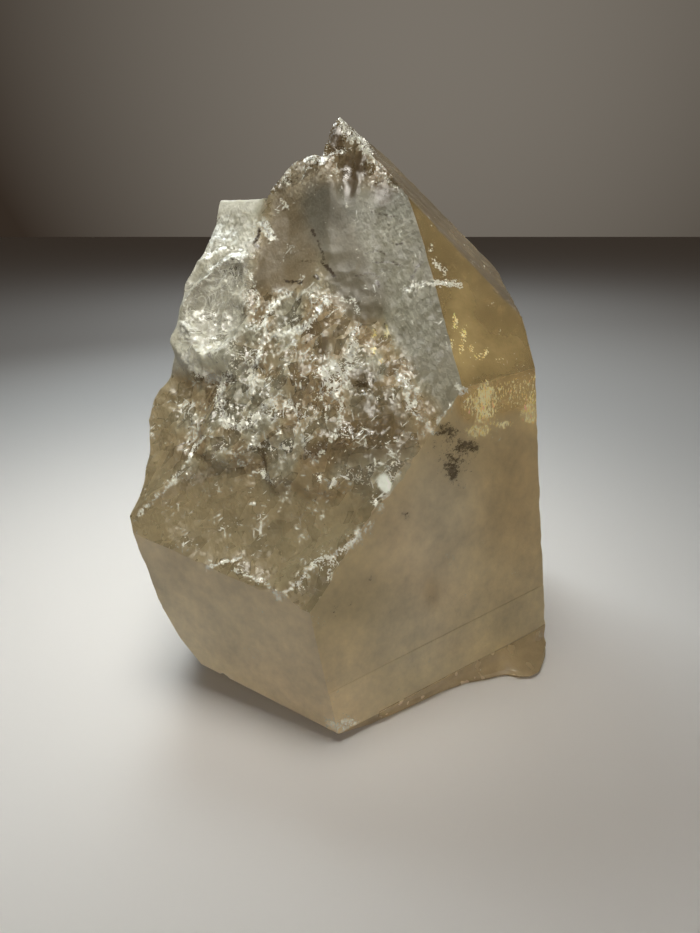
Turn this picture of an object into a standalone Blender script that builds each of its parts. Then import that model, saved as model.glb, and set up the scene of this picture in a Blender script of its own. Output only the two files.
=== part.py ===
"""A large smoky quartz point, broken across the front: one solid, in metres, +Z up, front towards -Y.

The flat faces are planes that slice a block. Separate cutters then make the rough break that runs
from the left front face up to the tip, the broken wall on the left, the hollows underneath and the
chips. Lengths are millimetres until the end. Places are measured from the front bottom corner
(x to the right, y to the back, z above the table).
"""

import math

import bmesh
import bpy
import numpy as np
from mathutils import Vector

MM = 0.001
SEED = 11
# The place under the middle of the crystal that becomes the origin.
ORIGIN = (4.6, 70.6, 0.0)

# Flat faces: compass bearing of the outward normal (0 = right, -90 = front), its rise, a point on it.
CORNER = (0.0, 0.0, 3.0)
FACES = {
    "right_front": (-58.3, 6.2, CORNER),
    "left_front": (-117.0, -3.5, CORNER),
    "left": (-178.0, -14.0, (-56.3, 25.5, 49.2)),
    "left_wall": (154.0, -6.5, (-52.5, 61.4, 91.3)),
    "back_left": (121.7, -6.2, (-34.0, 119.0, 50.0)),
    "back_right": (62.0, 0.8, (27.0, 123.0, 50.0)),
    "right": (2.1, 7.4, (58.3, 43.3, 60.0)),
    "tip_front": (-62.3, 44.3, (33.3, 31.4, 87.4)),
    "tip_bevel": (-22.0, 48.9, (53.6, 56.1, 100.1)),
    "tip_right": (4.9, 45.2, (46.4, 85.4, 115.6)),
    "tip_back_right": (68.1, 38.6, (8.1, 98.0, 150.0)),
    "tip_back": (115.0, 38.0, (-1.0, 98.0, 156.3)),
    "tip_left": (150.0, 51.6, (-39.6, 94.0, 134.0)),
    "low_left": (-172.0, -24.7, (-50.9, 24.2, 28.1)),
    "lower_left": (-170.0, -37.3, (-45.3, 22.1, 16.7)),
    "under_left": (-150.0, -75.0, CORNER),
    "under_corner": (-100.0, -70.0, CORNER),
    "foot_front": (-56.9, -14.0, CORNER),
    "base": (0.0, -90.0, (0.0, 0.0, 0.0)),
}
BLOCK_HALF = 260.0

# The break: a sloping mean plane with relief on it. Places on it are (across, up the slope).
BREAK_CENTRE = (2.6, 24.3, 69.1)
BREAK_BEARING = -108.3
BREAK_RISE = 40.3
BREAK_ACROSS = (-78.0, 50.0)
BREAK_UP = (-62.0, 128.0)
BREAK_GRID = 1.95
BREAK_REACH = 75.0

# Ridges on the break: a run of points, the width of the foot and the height.
RIB = (((-24.0, 110.0), (-26.0, 92.0), (-22.0, 76.0), (-17.0, 56.0), (-12.6, 28.0)), 14.0, 2.6)
LEFT_CREST = (((-57.0, -22.0), (-48.8, -12.0), (-40.0, -2.0), (-41.0, 17.0)), 6.0, 1.4)
FOOT_CREST = (((-33.0, -32.0), (-25.3, -29.3), (-19.8, -32.8), (-12.5, -35.0)), 3.0, 0.5)
RIGHT_CREST = (((11.0, -12.0), (1.7, -22.4), (-6.0, -30.2), (-9.6, -36.1)), 6.0, 2.0)

# Hollows in the break: centre, radii and depth.
RIB_HOLLOWS = (
    ((-19.0, 92.0), (4.5, 12.0), 1.6), ((-7.0, 91.0), (7.0, 11.0), 1.2), ((-33.0, 74.0), (9.0, 17.0), 0.4),
)
LOW_BOWL = ((-20.0, -13.0), (31.0, 21.0), 3.2)

# The swelling that carries the tip.
TIP_ACROSS = -24.0
TIP_SPREAD = 44.0
TIP_SWELL = 3.6
TIP_RISE = (66.0, 108.0)

# The pale piece at the top left: its right edge and foot, how far it stands up, and its shell.
PALE_EDGE = (-38.5, -43.5)
PALE_LEAN = 0.12
PALE_MIDDLE = (-52.0, 45.0)
PALE_FOOT = 22.5
PALE_STEP = 2.2
PALE_SETBACK = 3.6
PALE_SETBACK_UP = (56.0, 78.0)
SHELL = ((-48.5, 43.0), (10.5, 15.5))
SHELL_DEPTH = 3.4
SHELL_RIM = 0.9
SHELL_RIM_WIDTH = 0.22

# The crushed step across the middle.
LEDGE_FOOT = -7.0
LEDGE_HEIGHT = 1.9
LEDGE_TOP = (40.0, 16.0)
LEDGE_RIGHT = (23.0, 9.0)
LEDGE_LEFT = (-47.0, -39.0)
TOOTH_PITCH = 19.0
TOOTH_LENGTH = 9.0

# Left of the left crest the break slopes away: a point on the crest, the slope's direction and fall.
SLOPE_START = (-48.5, -12.0)
SLOPE_WAY = (-0.77, 0.64)
SLOPE_FALL = 0.2
SLOPE_REACH = 14.0
SLOPE_TOP = (27.0, 21.0)

# Quiet places: the pane right of the rib (edge lines as a point and a bearing) and the flat left of it.
PANE_EDGE = ((-23.0, 81.0), 30.0, 4.3)
PANE_FOOT = ((-4.5, 43.0), 40.0, 5.8)
FLAT_LEFT = (-43.0, -40.0)
FLAT_RIGHT = (-19.0, -23.0)
FLAT_FOOT = (48.0, 54.0)
CALM_TOP = (92.0, 84.0)
CALM_SHARE = 0.9

# Scallops: spacing and depth of the large and the small ones, and where they are deepest.
LARGE_SCALLOPS = (13.0, 1.7)
SMALL_SCALLOPS = (6.5, 1.0)
ROUGH_FOOT = (-6.0, 6.0)
ROUGH_TOP = (74.0, 52.0)
ROUGH_RIGHT = (16.0, 4.0)
WANDER = 1.3

# The skyline of the break: the farthest point up the slope for each place across it.
SKYLINE_ACROSS = (-46.0, -45.0, -43.7, -38.0, -33.5, -28.0, -26.8, -24.3, -20.0, -10.0, 0.0)
SKYLINE_UP = (84.0, 82.0, 86.4, 95.0, 96.7, 95.8, 106.7, 110.3, 114.0, 122.0, 130.0)
SKYLINE_NOTCH = (-46.5, -44.5)
SKYLINE_FALL = 1.2

# The broken left wall, as depths along its front edge.
WALL_UP = (-90.0, -60.0, -37.8, -28.8, -14.5, -2.4, 15.5, 25.6, 40.3, 60.0)
WALL_DEPTH = (0.6, -4.0, -6.2, -3.4, 0.6, -3.8, -2.2, -3.4, -2.0, -1.9)
WALL_MEAN = -2.6
WALL_FADE = (42.0, 4.0)
WALL_ACROSS = (-85.0, 60.0)
WALL_HEIGHT = (-105.0, 70.0)
WALL_GRID = 4.0
WALL_REACH = 40.0
WALL_SCALLOPS = (15.0, 2.0)

# The flared toe under the right front face: how far it stands out along the face's foot.
TOE_ALONG = (13.0, 16.0, 22.0, 35.0, 44.0, 50.0, 54.3, 56.4, 58.8, 61.5, 65.2, 72.0, 76.5)
TOE_SPREAD = (-0.4, 0.1, 0.5, 0.6, 1.8, 4.0, 5.0, 5.9, 8.9, 10.5, 10.4, 6.5, 2.6)
TOE_SECTIONS = 32
# The flare's section, from the foot up: height as a share of the ridge, and share of the spread.
TOE_FLARE = ((0.97, -0.12), (0.74, 0.07), (0.5, 0.24), (0.36, 0.5), (0.3, 0.8), (0.16, 1.0), (0.0, 0.93))
TOE_ROOT = 9.0
FOOT_RISE = 0.066
FOOT_SLANT = 0.25

# A thin growth step across the right front face: its depth and two points on its edge.
GROWTH_STEP = 0.25
GROWTH_LINE = ((-1.6, 0.7, 15.9), (62.4, 41.0, 22.0))
GROWTH_ACROSS = (-30.0, 100.0)
GROWTH_UP = (0.0, 110.0)
GROWTH_REACH = 20.0

# Small chips off the edges and the underside: place and radius.
CHIPS = (
    ((-14.5, 6.0, 2.6), 2.6), ((-21.5, 9.6, 4.4), 2.2), ((-33.0, 15.0, 6.6), 3.0),
    ((67.5, 41.0, 2.0), 2.6), ((56.0, 43.0, 92.0), 2.4), ((59.5, 73.0, 104.5), 2.8),
    ((70.0, 96.0, 30.0), 4.0), ((-12.0, 139.0, 70.0), 5.0), ((0.2, -1.6, 2.4), 1.9),
)
CHIP_DENTS = 0.25

# The underside: shallow hollows (centre, radii, depth), with the rest left flat to rest on.
BASE_HOLLOWS = (
    ((-28.0, 60.0), (24.0, 20.0), 3.0), ((30.0, 95.0), (26.0, 18.0), 2.4),
    ((-8.0, 112.0), (20.0, 15.0), 2.8), ((38.0, 50.0), (17.0, 12.0), 1.6),
)
BASE_CLEARANCE = 0.8
BASE_LIP = 0.5
BASE_ACROSS = (-70.0, 80.0)
BASE_BACK = (-150.0, 20.0)
BASE_GRID = 4.5
BASE_REACH = 15.0
BASE_SCALLOPS = (9.0, 0.35)

# Points nearer than this are merged, and faces flatter than this are joined.
MERGE = 0.02
FLAT_ENOUGH = math.radians(0.4)


def clear_scene():
    for obj in list(bpy.data.objects):
        bpy.data.objects.remove(obj, do_unlink=True)


def normal_of(bearing, rise):
    b = math.radians(bearing)
    r = math.radians(rise)
    return Vector((math.cos(b) * math.cos(r), math.sin(b) * math.cos(r), math.sin(r)))


def object_from(name, verts, faces):
    mesh = bpy.data.meshes.new(name)
    mesh.from_pydata([tuple(v) for v in verts], [], faces)
    mesh.validate()
    obj = bpy.data.objects.new(name, mesh)
    bpy.context.scene.collection.objects.link(obj)
    return obj


def outward(obj):
    bm = bmesh.new()
    bm.from_mesh(obj.data)
    bmesh.ops.recalc_face_normals(bm, faces=bm.faces)
    if bm.calc_volume(signed=True) < 0:
        bmesh.ops.reverse_faces(bm, faces=bm.faces)
    bm.to_mesh(obj.data)
    bm.free()


def cut_block():
    """A big cube sliced by every flat face in turn."""
    bm = bmesh.new()
    bmesh.ops.create_cube(bm, size=2 * BLOCK_HALF)
    for bearing, rise, place in FACES.values():
        geom = bm.verts[:] + bm.edges[:] + bm.faces[:]
        normal = normal_of(bearing, rise)
        bmesh.ops.bisect_plane(
            bm, geom=geom, plane_co=Vector(place), plane_no=normal, dist=1e-5, clear_outer=True
        )
        rim = [edge for edge in bm.edges if edge.is_boundary]
        bmesh.ops.contextual_create(bm, geom=rim)
    bmesh.ops.recalc_face_normals(bm, faces=bm.faces)
    mesh = bpy.data.meshes.new("crystal")
    bm.to_mesh(mesh)
    bm.free()
    obj = bpy.data.objects.new("crystal", mesh)
    bpy.context.scene.collection.objects.link(obj)
    return obj


def combine(target, other, operation):
    """A Boolean between two closed meshes, applied to the first; the second is removed."""
    modifier = target.modifiers.new(operation.lower(), "BOOLEAN")
    modifier.operation = operation
    modifier.solver = "EXACT"
    modifier.object = other
    bpy.context.view_layer.update()
    graph = bpy.context.evaluated_depsgraph_get()
    mesh = bpy.data.meshes.new_from_object(target.evaluated_get(graph))
    target.modifiers.clear()
    target.data = mesh
    bpy.data.objects.remove(other, do_unlink=True)


# --- relief of the break -------------------------------------------------------------------


def smooth(a, b, x):
    u = np.clip((x - a) / (b - a), 0.0, 1.0)
    return u * u * (3.0 - 2.0 * u)


def from_line(s, t, line):
    """Distance to a run of points."""
    best = np.full(np.shape(s), 1e9)
    for (s0, t0), (s1, t1) in zip(line[:-1], line[1:]):
        ds = s1 - s0
        dt = t1 - t0
        k = np.clip(((s - s0) * ds + (t - t0) * dt) / (ds * ds + dt * dt), 0.0, 1.0)
        best = np.minimum(best, np.hypot(s - s0 - k * ds, t - t0 - k * dt))
    return best


def crest(s, t, line, width, height):
    """A ridge with a sharp top along a run of points."""
    return height * np.clip(1.0 - from_line(s, t, line) / width, 0.0, None)


def hollow(s, t, centre, radii, depth):
    r = ((s - centre[0]) / radii[0]) ** 2 + ((t - centre[1]) / radii[1]) ** 2
    return -depth * np.clip(1.0 - r, 0.0, None)


def scallops(s, t, spacing, depth, seed):
    """Shallow shell-shaped hollows that meet in sharp ridges."""
    rng = np.random.default_rng(seed)
    result = np.full(np.shape(s), 1e9)
    across = np.arange(-100.0, 100.0, spacing)
    for row, up in enumerate(np.arange(-100.0, 150.0, spacing)):
        for column in across:
            cs = column + spacing * (rng.random() + 0.5 * (row % 2))
            ct = up + spacing * rng.random()
            level = 0.35 * rng.random()
            r2 = ((s - cs) ** 2 + (t - ct) ** 2) / spacing**2
            result = np.minimum(result, r2 + level)
    return depth * (np.clip(result, 0.0, 1.2) - 0.35)


def drift(s, t, size, seed):
    """A slow wander, so that lines drawn on the break don't run straight."""
    rng = np.random.default_rng(seed)
    result = np.zeros(np.shape(s))
    for _ in range(4):
        angle = rng.uniform(0.0, 2.0 * math.pi)
        phase = rng.uniform(0.0, 2.0 * math.pi)
        pitch = size * rng.uniform(0.7, 1.5)
        along = s * math.cos(angle) + t * math.sin(angle)
        result = result + np.sin(2.0 * math.pi * along / pitch + phase)
    return result / 2.0


def beyond(s, t, place, bearing, blend):
    """0 short of a slanting line through a place, rising to 1 past it."""
    angle = math.radians(bearing)
    return smooth(0.0, blend, (s - place[0]) * math.cos(angle) + (t - place[1]) * math.sin(angle))


def rib_and_tip(s, t):
    """The rib that climbs to the tip, with shallow hollows beside it."""
    swell = np.clip(1.0 - np.abs(s - TIP_ACROSS) / TIP_SPREAD, 0.0, 1.0)
    h = TIP_SWELL * smooth(*TIP_RISE, t) * swell + crest(s, t, *RIB)
    for centre, radii, depth in RIB_HOLLOWS:
        h = h + hollow(s, t, centre, radii, depth)
    return h


def pale_piece(s, t):
    """The pale piece at the top left, with a thumb-shaped shell and a lip along its foot."""
    aside = s - PALE_MIDDLE[0]
    foot = PALE_FOOT + 0.2 * np.abs(aside) - 0.35 * aside
    inside = smooth(*PALE_EDGE, s + PALE_LEAN * (t - PALE_MIDDLE[1])) * smooth(foot - 1.6, foot + 1.0, t)
    shell = hollow(s, t, *SHELL, SHELL_DEPTH)
    (centre_s, centre_t), (radius_s, radius_t) = SHELL
    ring = np.hypot((s - centre_s) / radius_s, (t - centre_t) / radius_t)
    rim = SHELL_RIM * np.clip(1.0 - np.abs(ring - 1.0) / SHELL_RIM_WIDTH, 0.0, None)
    return inside * (PALE_STEP - PALE_SETBACK * smooth(*PALE_SETBACK_UP, t) + shell + rim)


def crushed_ledge(s, t):
    """The ragged step across the middle, with teeth hanging from it."""
    teeth = TOOTH_LENGTH * np.abs(drift(s, 0.15 * t, TOOTH_PITCH, SEED + 8))
    foot = LEDGE_FOOT + teeth + 2.0 * np.sin(0.11 * s)
    band = smooth(*LEDGE_RIGHT, s) * smooth(*LEDGE_LEFT, s)
    return LEDGE_HEIGHT * smooth(foot - 1.2, foot + 1.2, t) * smooth(*LEDGE_TOP, t) * band


def calm(s, t):
    """1 on the two quiet parts: the pane right of the rib, and the flat beside the pale piece."""
    pane = beyond(s, t, *PANE_EDGE) * beyond(s, t, *PANE_FOOT)
    flat = smooth(*FLAT_LEFT, s) * smooth(*FLAT_RIGHT, s) * smooth(*FLAT_FOOT, t)
    return np.maximum(pane, flat) * smooth(*CALM_TOP, t)


def left_slope(s, t):
    """The lower left slopes away past its slanting crest."""
    past = SLOPE_WAY[0] * (s - SLOPE_START[0]) + SLOPE_WAY[1] * (t - SLOPE_START[1])
    return -SLOPE_FALL * smooth(*SLOPE_TOP, t) * np.clip(past, 0.0, SLOPE_REACH)


def behind_skyline(s, t):
    """Past the skyline the break turns over and falls away behind."""
    skyline = np.interp(s, SKYLINE_ACROSS, SKYLINE_UP)
    steep = SKYLINE_FALL * (1.0 + smooth(*SKYLINE_NOTCH, s))
    return -steep * np.clip(t - skyline, 0.0, None)


def relief(s, t):
    """Height of the break above its mean plane."""
    ws = s + WANDER * drift(s, t, 26.0, SEED + 5)
    wt = t + WANDER * drift(s, t, 24.0, SEED + 6)
    h = rib_and_tip(ws, wt) + pale_piece(ws, wt) + crushed_ledge(ws, wt)
    h += left_slope(ws, wt) + crest(ws, wt, *LEFT_CREST)
    h += hollow(s, t, *LOW_BOWL) + crest(s, t, *RIGHT_CREST) + crest(ws, t, *FOOT_CREST)
    # Scallops are deeper across the middle and almost gone on the quiet parts.
    rough = smooth(*ROUGH_FOOT, t) * smooth(*ROUGH_TOP, t) * smooth(*ROUGH_RIGHT, s)
    quiet = 1.0 - CALM_SHARE * calm(s, t)
    h += scallops(ws, 0.75 * wt, *LARGE_SCALLOPS, SEED) * (0.3 + 0.7 * rough) * quiet
    h += scallops(s, t, *SMALL_SCALLOPS, SEED + 1) * (0.25 + 0.75 * rough) * quiet
    return h + behind_skyline(s, t)


def grid_cutter(name, origin, axes, across, up, step, reach, height):
    """A closed slab whose inner side is a relief and whose outer side stands off by the reach."""
    s_count = int((across[1] - across[0]) / step) + 1
    t_count = int((up[1] - up[0]) / step) + 1
    s, t = np.meshgrid(np.linspace(*across, s_count), np.linspace(*up, t_count))
    h = height(s, t)
    side, slope, out = (np.array(axis) for axis in axes)
    inner = np.array(origin) + s[..., None] * side + t[..., None] * slope + h[..., None] * out
    outer = np.array(origin) + s[..., None] * side + t[..., None] * slope + reach * out
    verts = np.concatenate([inner.reshape(-1, 3), outer.reshape(-1, 3)])
    offset = s_count * t_count
    index = np.arange(offset).reshape(t_count, s_count)
    faces = []
    for row in range(t_count - 1):
        for col in range(s_count - 1):
            a, b = index[row, col], index[row, col + 1]
            c, d = index[row + 1, col + 1], index[row + 1, col]
            if (row + col) % 2:
                faces += [(a, b, c), (a, c, d)]
            else:
                faces += [(a, b, d), (b, c, d)]
    rim = list(index[0]) + list(index[1:, -1]) + list(index[-1, -2::-1]) + list(index[-2:0:-1, 0])
    faces.append([offset + i for i in rim])
    for a, b in zip(rim, rim[1:] + rim[:1]):
        faces.append((a, b, offset + b, offset + a))
    used = sorted({int(i) for face in faces for i in face})
    place = {old: new for new, old in enumerate(used)}
    obj = object_from(name, verts[used], [[place[int(i)] for i in face] for face in faces])
    outward(obj)
    return obj


def frame_on(bearing, rise):
    out = normal_of(bearing, rise)
    side = Vector((-math.sin(math.radians(bearing)), math.cos(math.radians(bearing)), 0.0))
    slope = out.cross(side)
    return side, slope, out


def break_cutter():
    axes = frame_on(BREAK_BEARING, BREAK_RISE)
    return grid_cutter(
        "break_cutter", BREAK_CENTRE, axes, BREAK_ACROSS, BREAK_UP, BREAK_GRID, BREAK_REACH, relief
    )


def wall_relief(s, t):
    """The wall is wavy where it meets the break and evens out towards the back."""
    behind = -0.8 - 0.83 * t - s
    wave = (np.interp(t, WALL_UP, WALL_DEPTH) - WALL_MEAN) * smooth(*WALL_FADE, behind)
    low = smooth(-60.0, -95.0, t) * 3.0
    return WALL_MEAN + wave + low + scallops(s, t, *WALL_SCALLOPS, SEED + 2) - 0.2


def wall_cutter():
    bearing, rise, place = FACES["left_wall"]
    axes = frame_on(bearing, rise)
    return grid_cutter(
        "wall_cutter", place, axes, WALL_ACROSS, WALL_HEIGHT, WALL_GRID, WALL_REACH, wall_relief
    )


def base_relief(s, t):
    """Shallow hollows in the underside; everywhere else it is left flat."""
    h = np.full(np.shape(s), BASE_CLEARANCE)
    for centre, radii, depth in BASE_HOLLOWS:
        h = np.minimum(h, BASE_LIP + hollow(s, -t, centre, radii, depth + BASE_LIP))
    return h + np.where(h < 0.0, scallops(s, t, *BASE_SCALLOPS, SEED + 3), 0.0)


def base_cutter():
    axes = (Vector((1.0, 0.0, 0.0)), Vector((0.0, -1.0, 0.0)), Vector((0.0, 0.0, -1.0)))
    place = FACES["base"][2]
    return grid_cutter(
        "base_cutter", place, axes, BASE_ACROSS, BASE_BACK, BASE_GRID, BASE_REACH, base_relief
    )


# --- toe, chips and growth step ------------------------------------------------------------


def toe_profile(along):
    """The toe's closed section at a place along the foot: distance out from the foot, and height."""
    spread = float(np.interp(along, TOE_ALONG, TOE_SPREAD))
    ridge = CORNER[2] + FOOT_RISE * along
    profile = [(-TOE_ROOT, 0.0), (-TOE_ROOT, ridge + 3.0), (-1.4, ridge + 0.6)]
    for level, share in TOE_FLARE:
        z = level * ridge
        profile.append((-FOOT_SLANT * (ridge - z) + share * spread, z))
    return profile


def toe():
    """A low concave flare along the foot of the right front face, widest near its right end."""
    bearing, rise, _ = FACES["right_front"]
    side, _, out = frame_on(bearing, rise)
    flat_out = Vector((out.x, out.y, 0.0)).normalized()
    rings = []
    for along in np.linspace(TOE_ALONG[0], TOE_ALONG[-1], TOE_SECTIONS):
        foot = side * float(along)
        ring = [(foot.x + flat_out.x * r, foot.y + flat_out.y * r, z) for r, z in toe_profile(along)]
        rings.append(ring)
    verts = [v for ring in rings for v in ring]
    width = len(rings[0])
    last = (len(rings) - 1) * width
    faces = [list(range(width)), [last + j for j in range(width)][::-1]]
    for i in range(len(rings) - 1):
        for j in range(width):
            a = i * width + j
            b = i * width + (j + 1) % width
            faces.append((a, b, b + width, a + width))
    obj = object_from("toe", verts, faces)
    outward(obj)
    return obj


def chip(place, radius, seed):
    """A dented ball to knock a small chip out of an edge."""
    rng = np.random.default_rng(seed)
    bm = bmesh.new()
    bmesh.ops.create_icosphere(bm, subdivisions=2, radius=radius)
    for v in bm.verts:
        v.co = v.co * (1.0 + CHIP_DENTS * (rng.random() - 0.5)) + Vector(place)
    mesh = bpy.data.meshes.new("chip")
    bm.to_mesh(mesh)
    bm.free()
    obj = bpy.data.objects.new("chip", mesh)
    bpy.context.scene.collection.objects.link(obj)
    return obj


def growth_slab():
    """Takes a thin skin off the right front face above its growth line."""
    bearing, rise, _ = FACES["right_front"]
    out = normal_of(bearing, rise)
    start = Vector(GROWTH_LINE[0])
    side = Vector(GROWTH_LINE[1]) - start
    side = (side - out * side.dot(out)).normalized()
    slope = out.cross(side)
    corners = []
    for depth in (-GROWTH_STEP, GROWTH_REACH):
        for across, up in ((0, 0), (1, 0), (1, 1), (0, 1)):
            corners.append(start + side * GROWTH_ACROSS[across] + slope * GROWTH_UP[up] + out * depth)
    faces = [(0, 1, 2, 3), (4, 5, 6, 7), (0, 1, 5, 4), (1, 2, 6, 5), (2, 3, 7, 6), (3, 0, 4, 7)]
    obj = object_from("growth_slab", corners, faces)
    outward(obj)
    return obj


def tidy_mesh(obj):
    bm = bmesh.new()
    bm.from_mesh(obj.data)
    bmesh.ops.remove_doubles(bm, verts=bm.verts, dist=MERGE)
    bmesh.ops.dissolve_limit(
        bm, angle_limit=FLAT_ENOUGH, verts=bm.verts, edges=bm.edges, use_dissolve_boundaries=False
    )
    bmesh.ops.triangulate(bm, faces=bm.faces)
    bmesh.ops.recalc_face_normals(bm, faces=bm.faces)
    bm.to_mesh(obj.data)
    bm.free()


def to_metres(obj):
    """Turns millimetres from the front bottom corner into metres from the origin."""
    for v in obj.data.vertices:
        v.co = (v.co - Vector(ORIGIN)) * MM


def quartz_material():
    material = bpy.data.materials.new("smoky_quartz")
    material.use_nodes = True
    shader = material.node_tree.nodes["Principled BSDF"]
    shader.inputs["Base Color"].default_value = (0.62, 0.52, 0.36, 1.0)
    shader.inputs["Roughness"].default_value = 0.2
    shader.inputs["Metallic"].default_value = 0.0
    return material


def main():
    clear_scene()
    crystal = cut_block()
    combine(crystal, growth_slab(), "DIFFERENCE")
    combine(crystal, toe(), "UNION")
    for cutter in (wall_cutter, base_cutter, break_cutter):
        combine(crystal, cutter(), "DIFFERENCE")
    for number, (place, radius) in enumerate(CHIPS):
        combine(crystal, chip(place, radius, SEED + number), "DIFFERENCE")
    tidy_mesh(crystal)
    to_metres(crystal)
    crystal.data.materials.clear()
    crystal.data.materials.append(quartz_material())


main()
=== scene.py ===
"""Looks of the smoky quartz point: a fine, see-through crystal in place of the plain solid.

Lengths are millimetres unless a name says otherwise. Places on the crystal are measured from its
front bottom corner (x to the right, y to the back, z above the table), as the solid's are.
"""

import math

import bmesh
import bpy
import numpy as np
from mathutils import Matrix, Vector

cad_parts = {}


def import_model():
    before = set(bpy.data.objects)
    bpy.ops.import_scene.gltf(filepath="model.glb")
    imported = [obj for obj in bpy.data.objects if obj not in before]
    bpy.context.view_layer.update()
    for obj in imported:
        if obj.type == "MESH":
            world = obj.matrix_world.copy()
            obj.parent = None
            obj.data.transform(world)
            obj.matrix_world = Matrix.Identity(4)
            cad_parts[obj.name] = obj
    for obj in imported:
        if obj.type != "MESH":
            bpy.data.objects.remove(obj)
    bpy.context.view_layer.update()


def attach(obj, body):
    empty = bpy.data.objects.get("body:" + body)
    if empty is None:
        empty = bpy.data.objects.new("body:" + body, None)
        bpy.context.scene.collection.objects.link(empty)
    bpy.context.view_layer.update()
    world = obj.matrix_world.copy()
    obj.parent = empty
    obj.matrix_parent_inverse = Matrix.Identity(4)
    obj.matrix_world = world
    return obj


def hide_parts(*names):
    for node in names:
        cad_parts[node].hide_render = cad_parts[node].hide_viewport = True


MM = 0.001
SEED = 11
FAR = 1e9

# Where the frame's origin lies, from the front bottom corner.
ORIGIN = (4.6, 70.6, 0.0)

# How finely each side is meshed.
BREAK_GRID = 0.6
FRONT_GRID = 1.1
BEVEL_GRID = FRONT_GRID * 0.6
WALL_GRID = 1.5
BACK_GRID = 2.2
BASE_GRID = 4.0

# --- camera, floor and light ---

IMAGE_WIDTH = 700.0
IMAGE_HEIGHT = 933.0
FOCAL_PIXELS = 647.0
SENSOR = 36.0
CAMERA_PITCH = 22.0
CAMERA_PLACE = (3.13, -130.42, 131.0)
CAMERA_NEAR_METRES = 0.005

FLOOR_HALF_METRES = 3.0
FLOOR_BACK_METRES = 2.85
FLOOR_GREY = (0.70, 0.70, 0.70, 1.0)
FLOOR_ROUGHNESS = 0.7

# A dim surround with a soft glow about one direction.
BACKDROP_GLOW = (0.10, 1.0, 0.21)
BACKDROP_EDGE = 0.83
BACKDROP_DIM = (0.034, 0.024, 0.017, 1.0)
BACKDROP_BRIGHT = (0.188, 0.167, 0.139, 1.0)

# Lights, in metres from the frame's origin: name, place, target, size, watts, colour, spread.
LIGHTS = (
    ("top", (-0.05, 0.01, 0.52), (-0.05, 0.01, 0.0), (0.24, 0.24), 0.17, (1.0, 0.96, 0.88), 44.0),
    ("back", (-0.15, 0.33, 0.45), (0.05, 0.0, 0.0), (0.2, 0.2), 0.58, (0.92, 0.99, 1.0), 118.0),
    ("far", (0.02, 0.60, 0.52), (0.02, 0.60, 0.0), (0.3, 0.3), 0.9, (0.95, 1.0, 1.0), 180.0),
    ("fill", (0.28, -0.85, 0.36), (0.0, 0.0, 0.05), (0.8, 0.6), 2.85, (1.0, 0.90, 0.77), 180.0),
)

# --- the crystal's faces, as in the solid ---

# Each face: the bearing and the rise of its outward direction, in degrees, and a place on it.
CORNER = (0.0, 0.0, 3.0)
FACES = {
    "right_front": (-58.3, 6.2, CORNER),
    "left_front": (-117.0, -3.5, CORNER),
    "left": (-178.0, -14.0, (-56.3, 25.5, 49.2)),
    "left_wall": (154.0, -6.5, (-52.5, 61.4, 91.3)),
    "back_left": (121.7, -6.2, (-34.0, 119.0, 50.0)),
    "back_right": (62.0, 0.8, (27.0, 123.0, 50.0)),
    "right": (2.1, 7.4, (58.3, 43.3, 60.0)),
    "tip_front": (-62.3, 44.3, (33.3, 31.4, 87.4)),
    "tip_bevel": (-22.0, 48.9, (53.6, 56.1, 100.1)),
    "tip_right": (4.9, 45.2, (46.4, 85.4, 115.6)),
    "tip_back_right": (68.1, 38.6, (8.1, 98.0, 150.0)),
    "tip_back": (115.0, 38.0, (-1.0, 98.0, 156.3)),
    "tip_left": (150.0, 51.6, (-39.6, 94.0, 134.0)),
    "low_left": (-172.0, -24.7, (-50.9, 24.2, 28.1)),
    "lower_left": (-170.0, -37.3, (-45.3, 22.1, 16.7)),
    "under_left": (-150.0, -75.0, CORNER),
    "under_corner": (-100.0, -70.0, CORNER),
    "foot_front": (-56.9, -14.0, CORNER),
    "base": (0.0, -90.0, (0.0, 0.0, 0.0)),
}
# The block that they slice, and how near a slice a point counts as on it.
BLOCK_HALF = 260.0
ON_SLICE = 1e-5

# Fields of relief: how far each runs across and up, its grid and how far its cutter stands off.
WIDE = (-90.0, 90.0)
PRISM_FIELD = (WIDE, (-70.0, 100.0), BACK_GRID, 25.0)
TIP_FIELD = (WIDE, WIDE, BACK_GRID, 25.0)
BEVEL_FIELD = (WIDE, WIDE, BEVEL_GRID, 25.0)
TIP_FRONT_FIELD = (WIDE, WIDE, FRONT_GRID, 25.0)
FRONT_FIELD = (WIDE, (-5.0, 105.0), FRONT_GRID, 25.0)
GROWTH_FIELD = ((-30.0, 100.0), (0.0, 110.0), FRONT_GRID, 20.0)
WALL_FIELD = ((-85.0, 60.0), (-105.0, 70.0), WALL_GRID, 40.0)
BASE_FIELD = ((-70.0, 80.0), (-150.0, 20.0), BASE_GRID, 15.0)
BREAK_FIELD = ((-78.0, 50.0), (-62.0, 128.0), BREAK_GRID, 75.0)

# Points closer than this are welded; edges that turn by more degrees than this stay sharp.
WELD = 0.01
SHARP_ANGLE = 28.0

# The break: a sloping mean plane with relief on it. Places on it are (across, up the slope).
BREAK_CENTRE = (2.6, 24.3, 69.1)
BREAK_BEARING = -108.3
BREAK_RISE = 40.3

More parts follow.
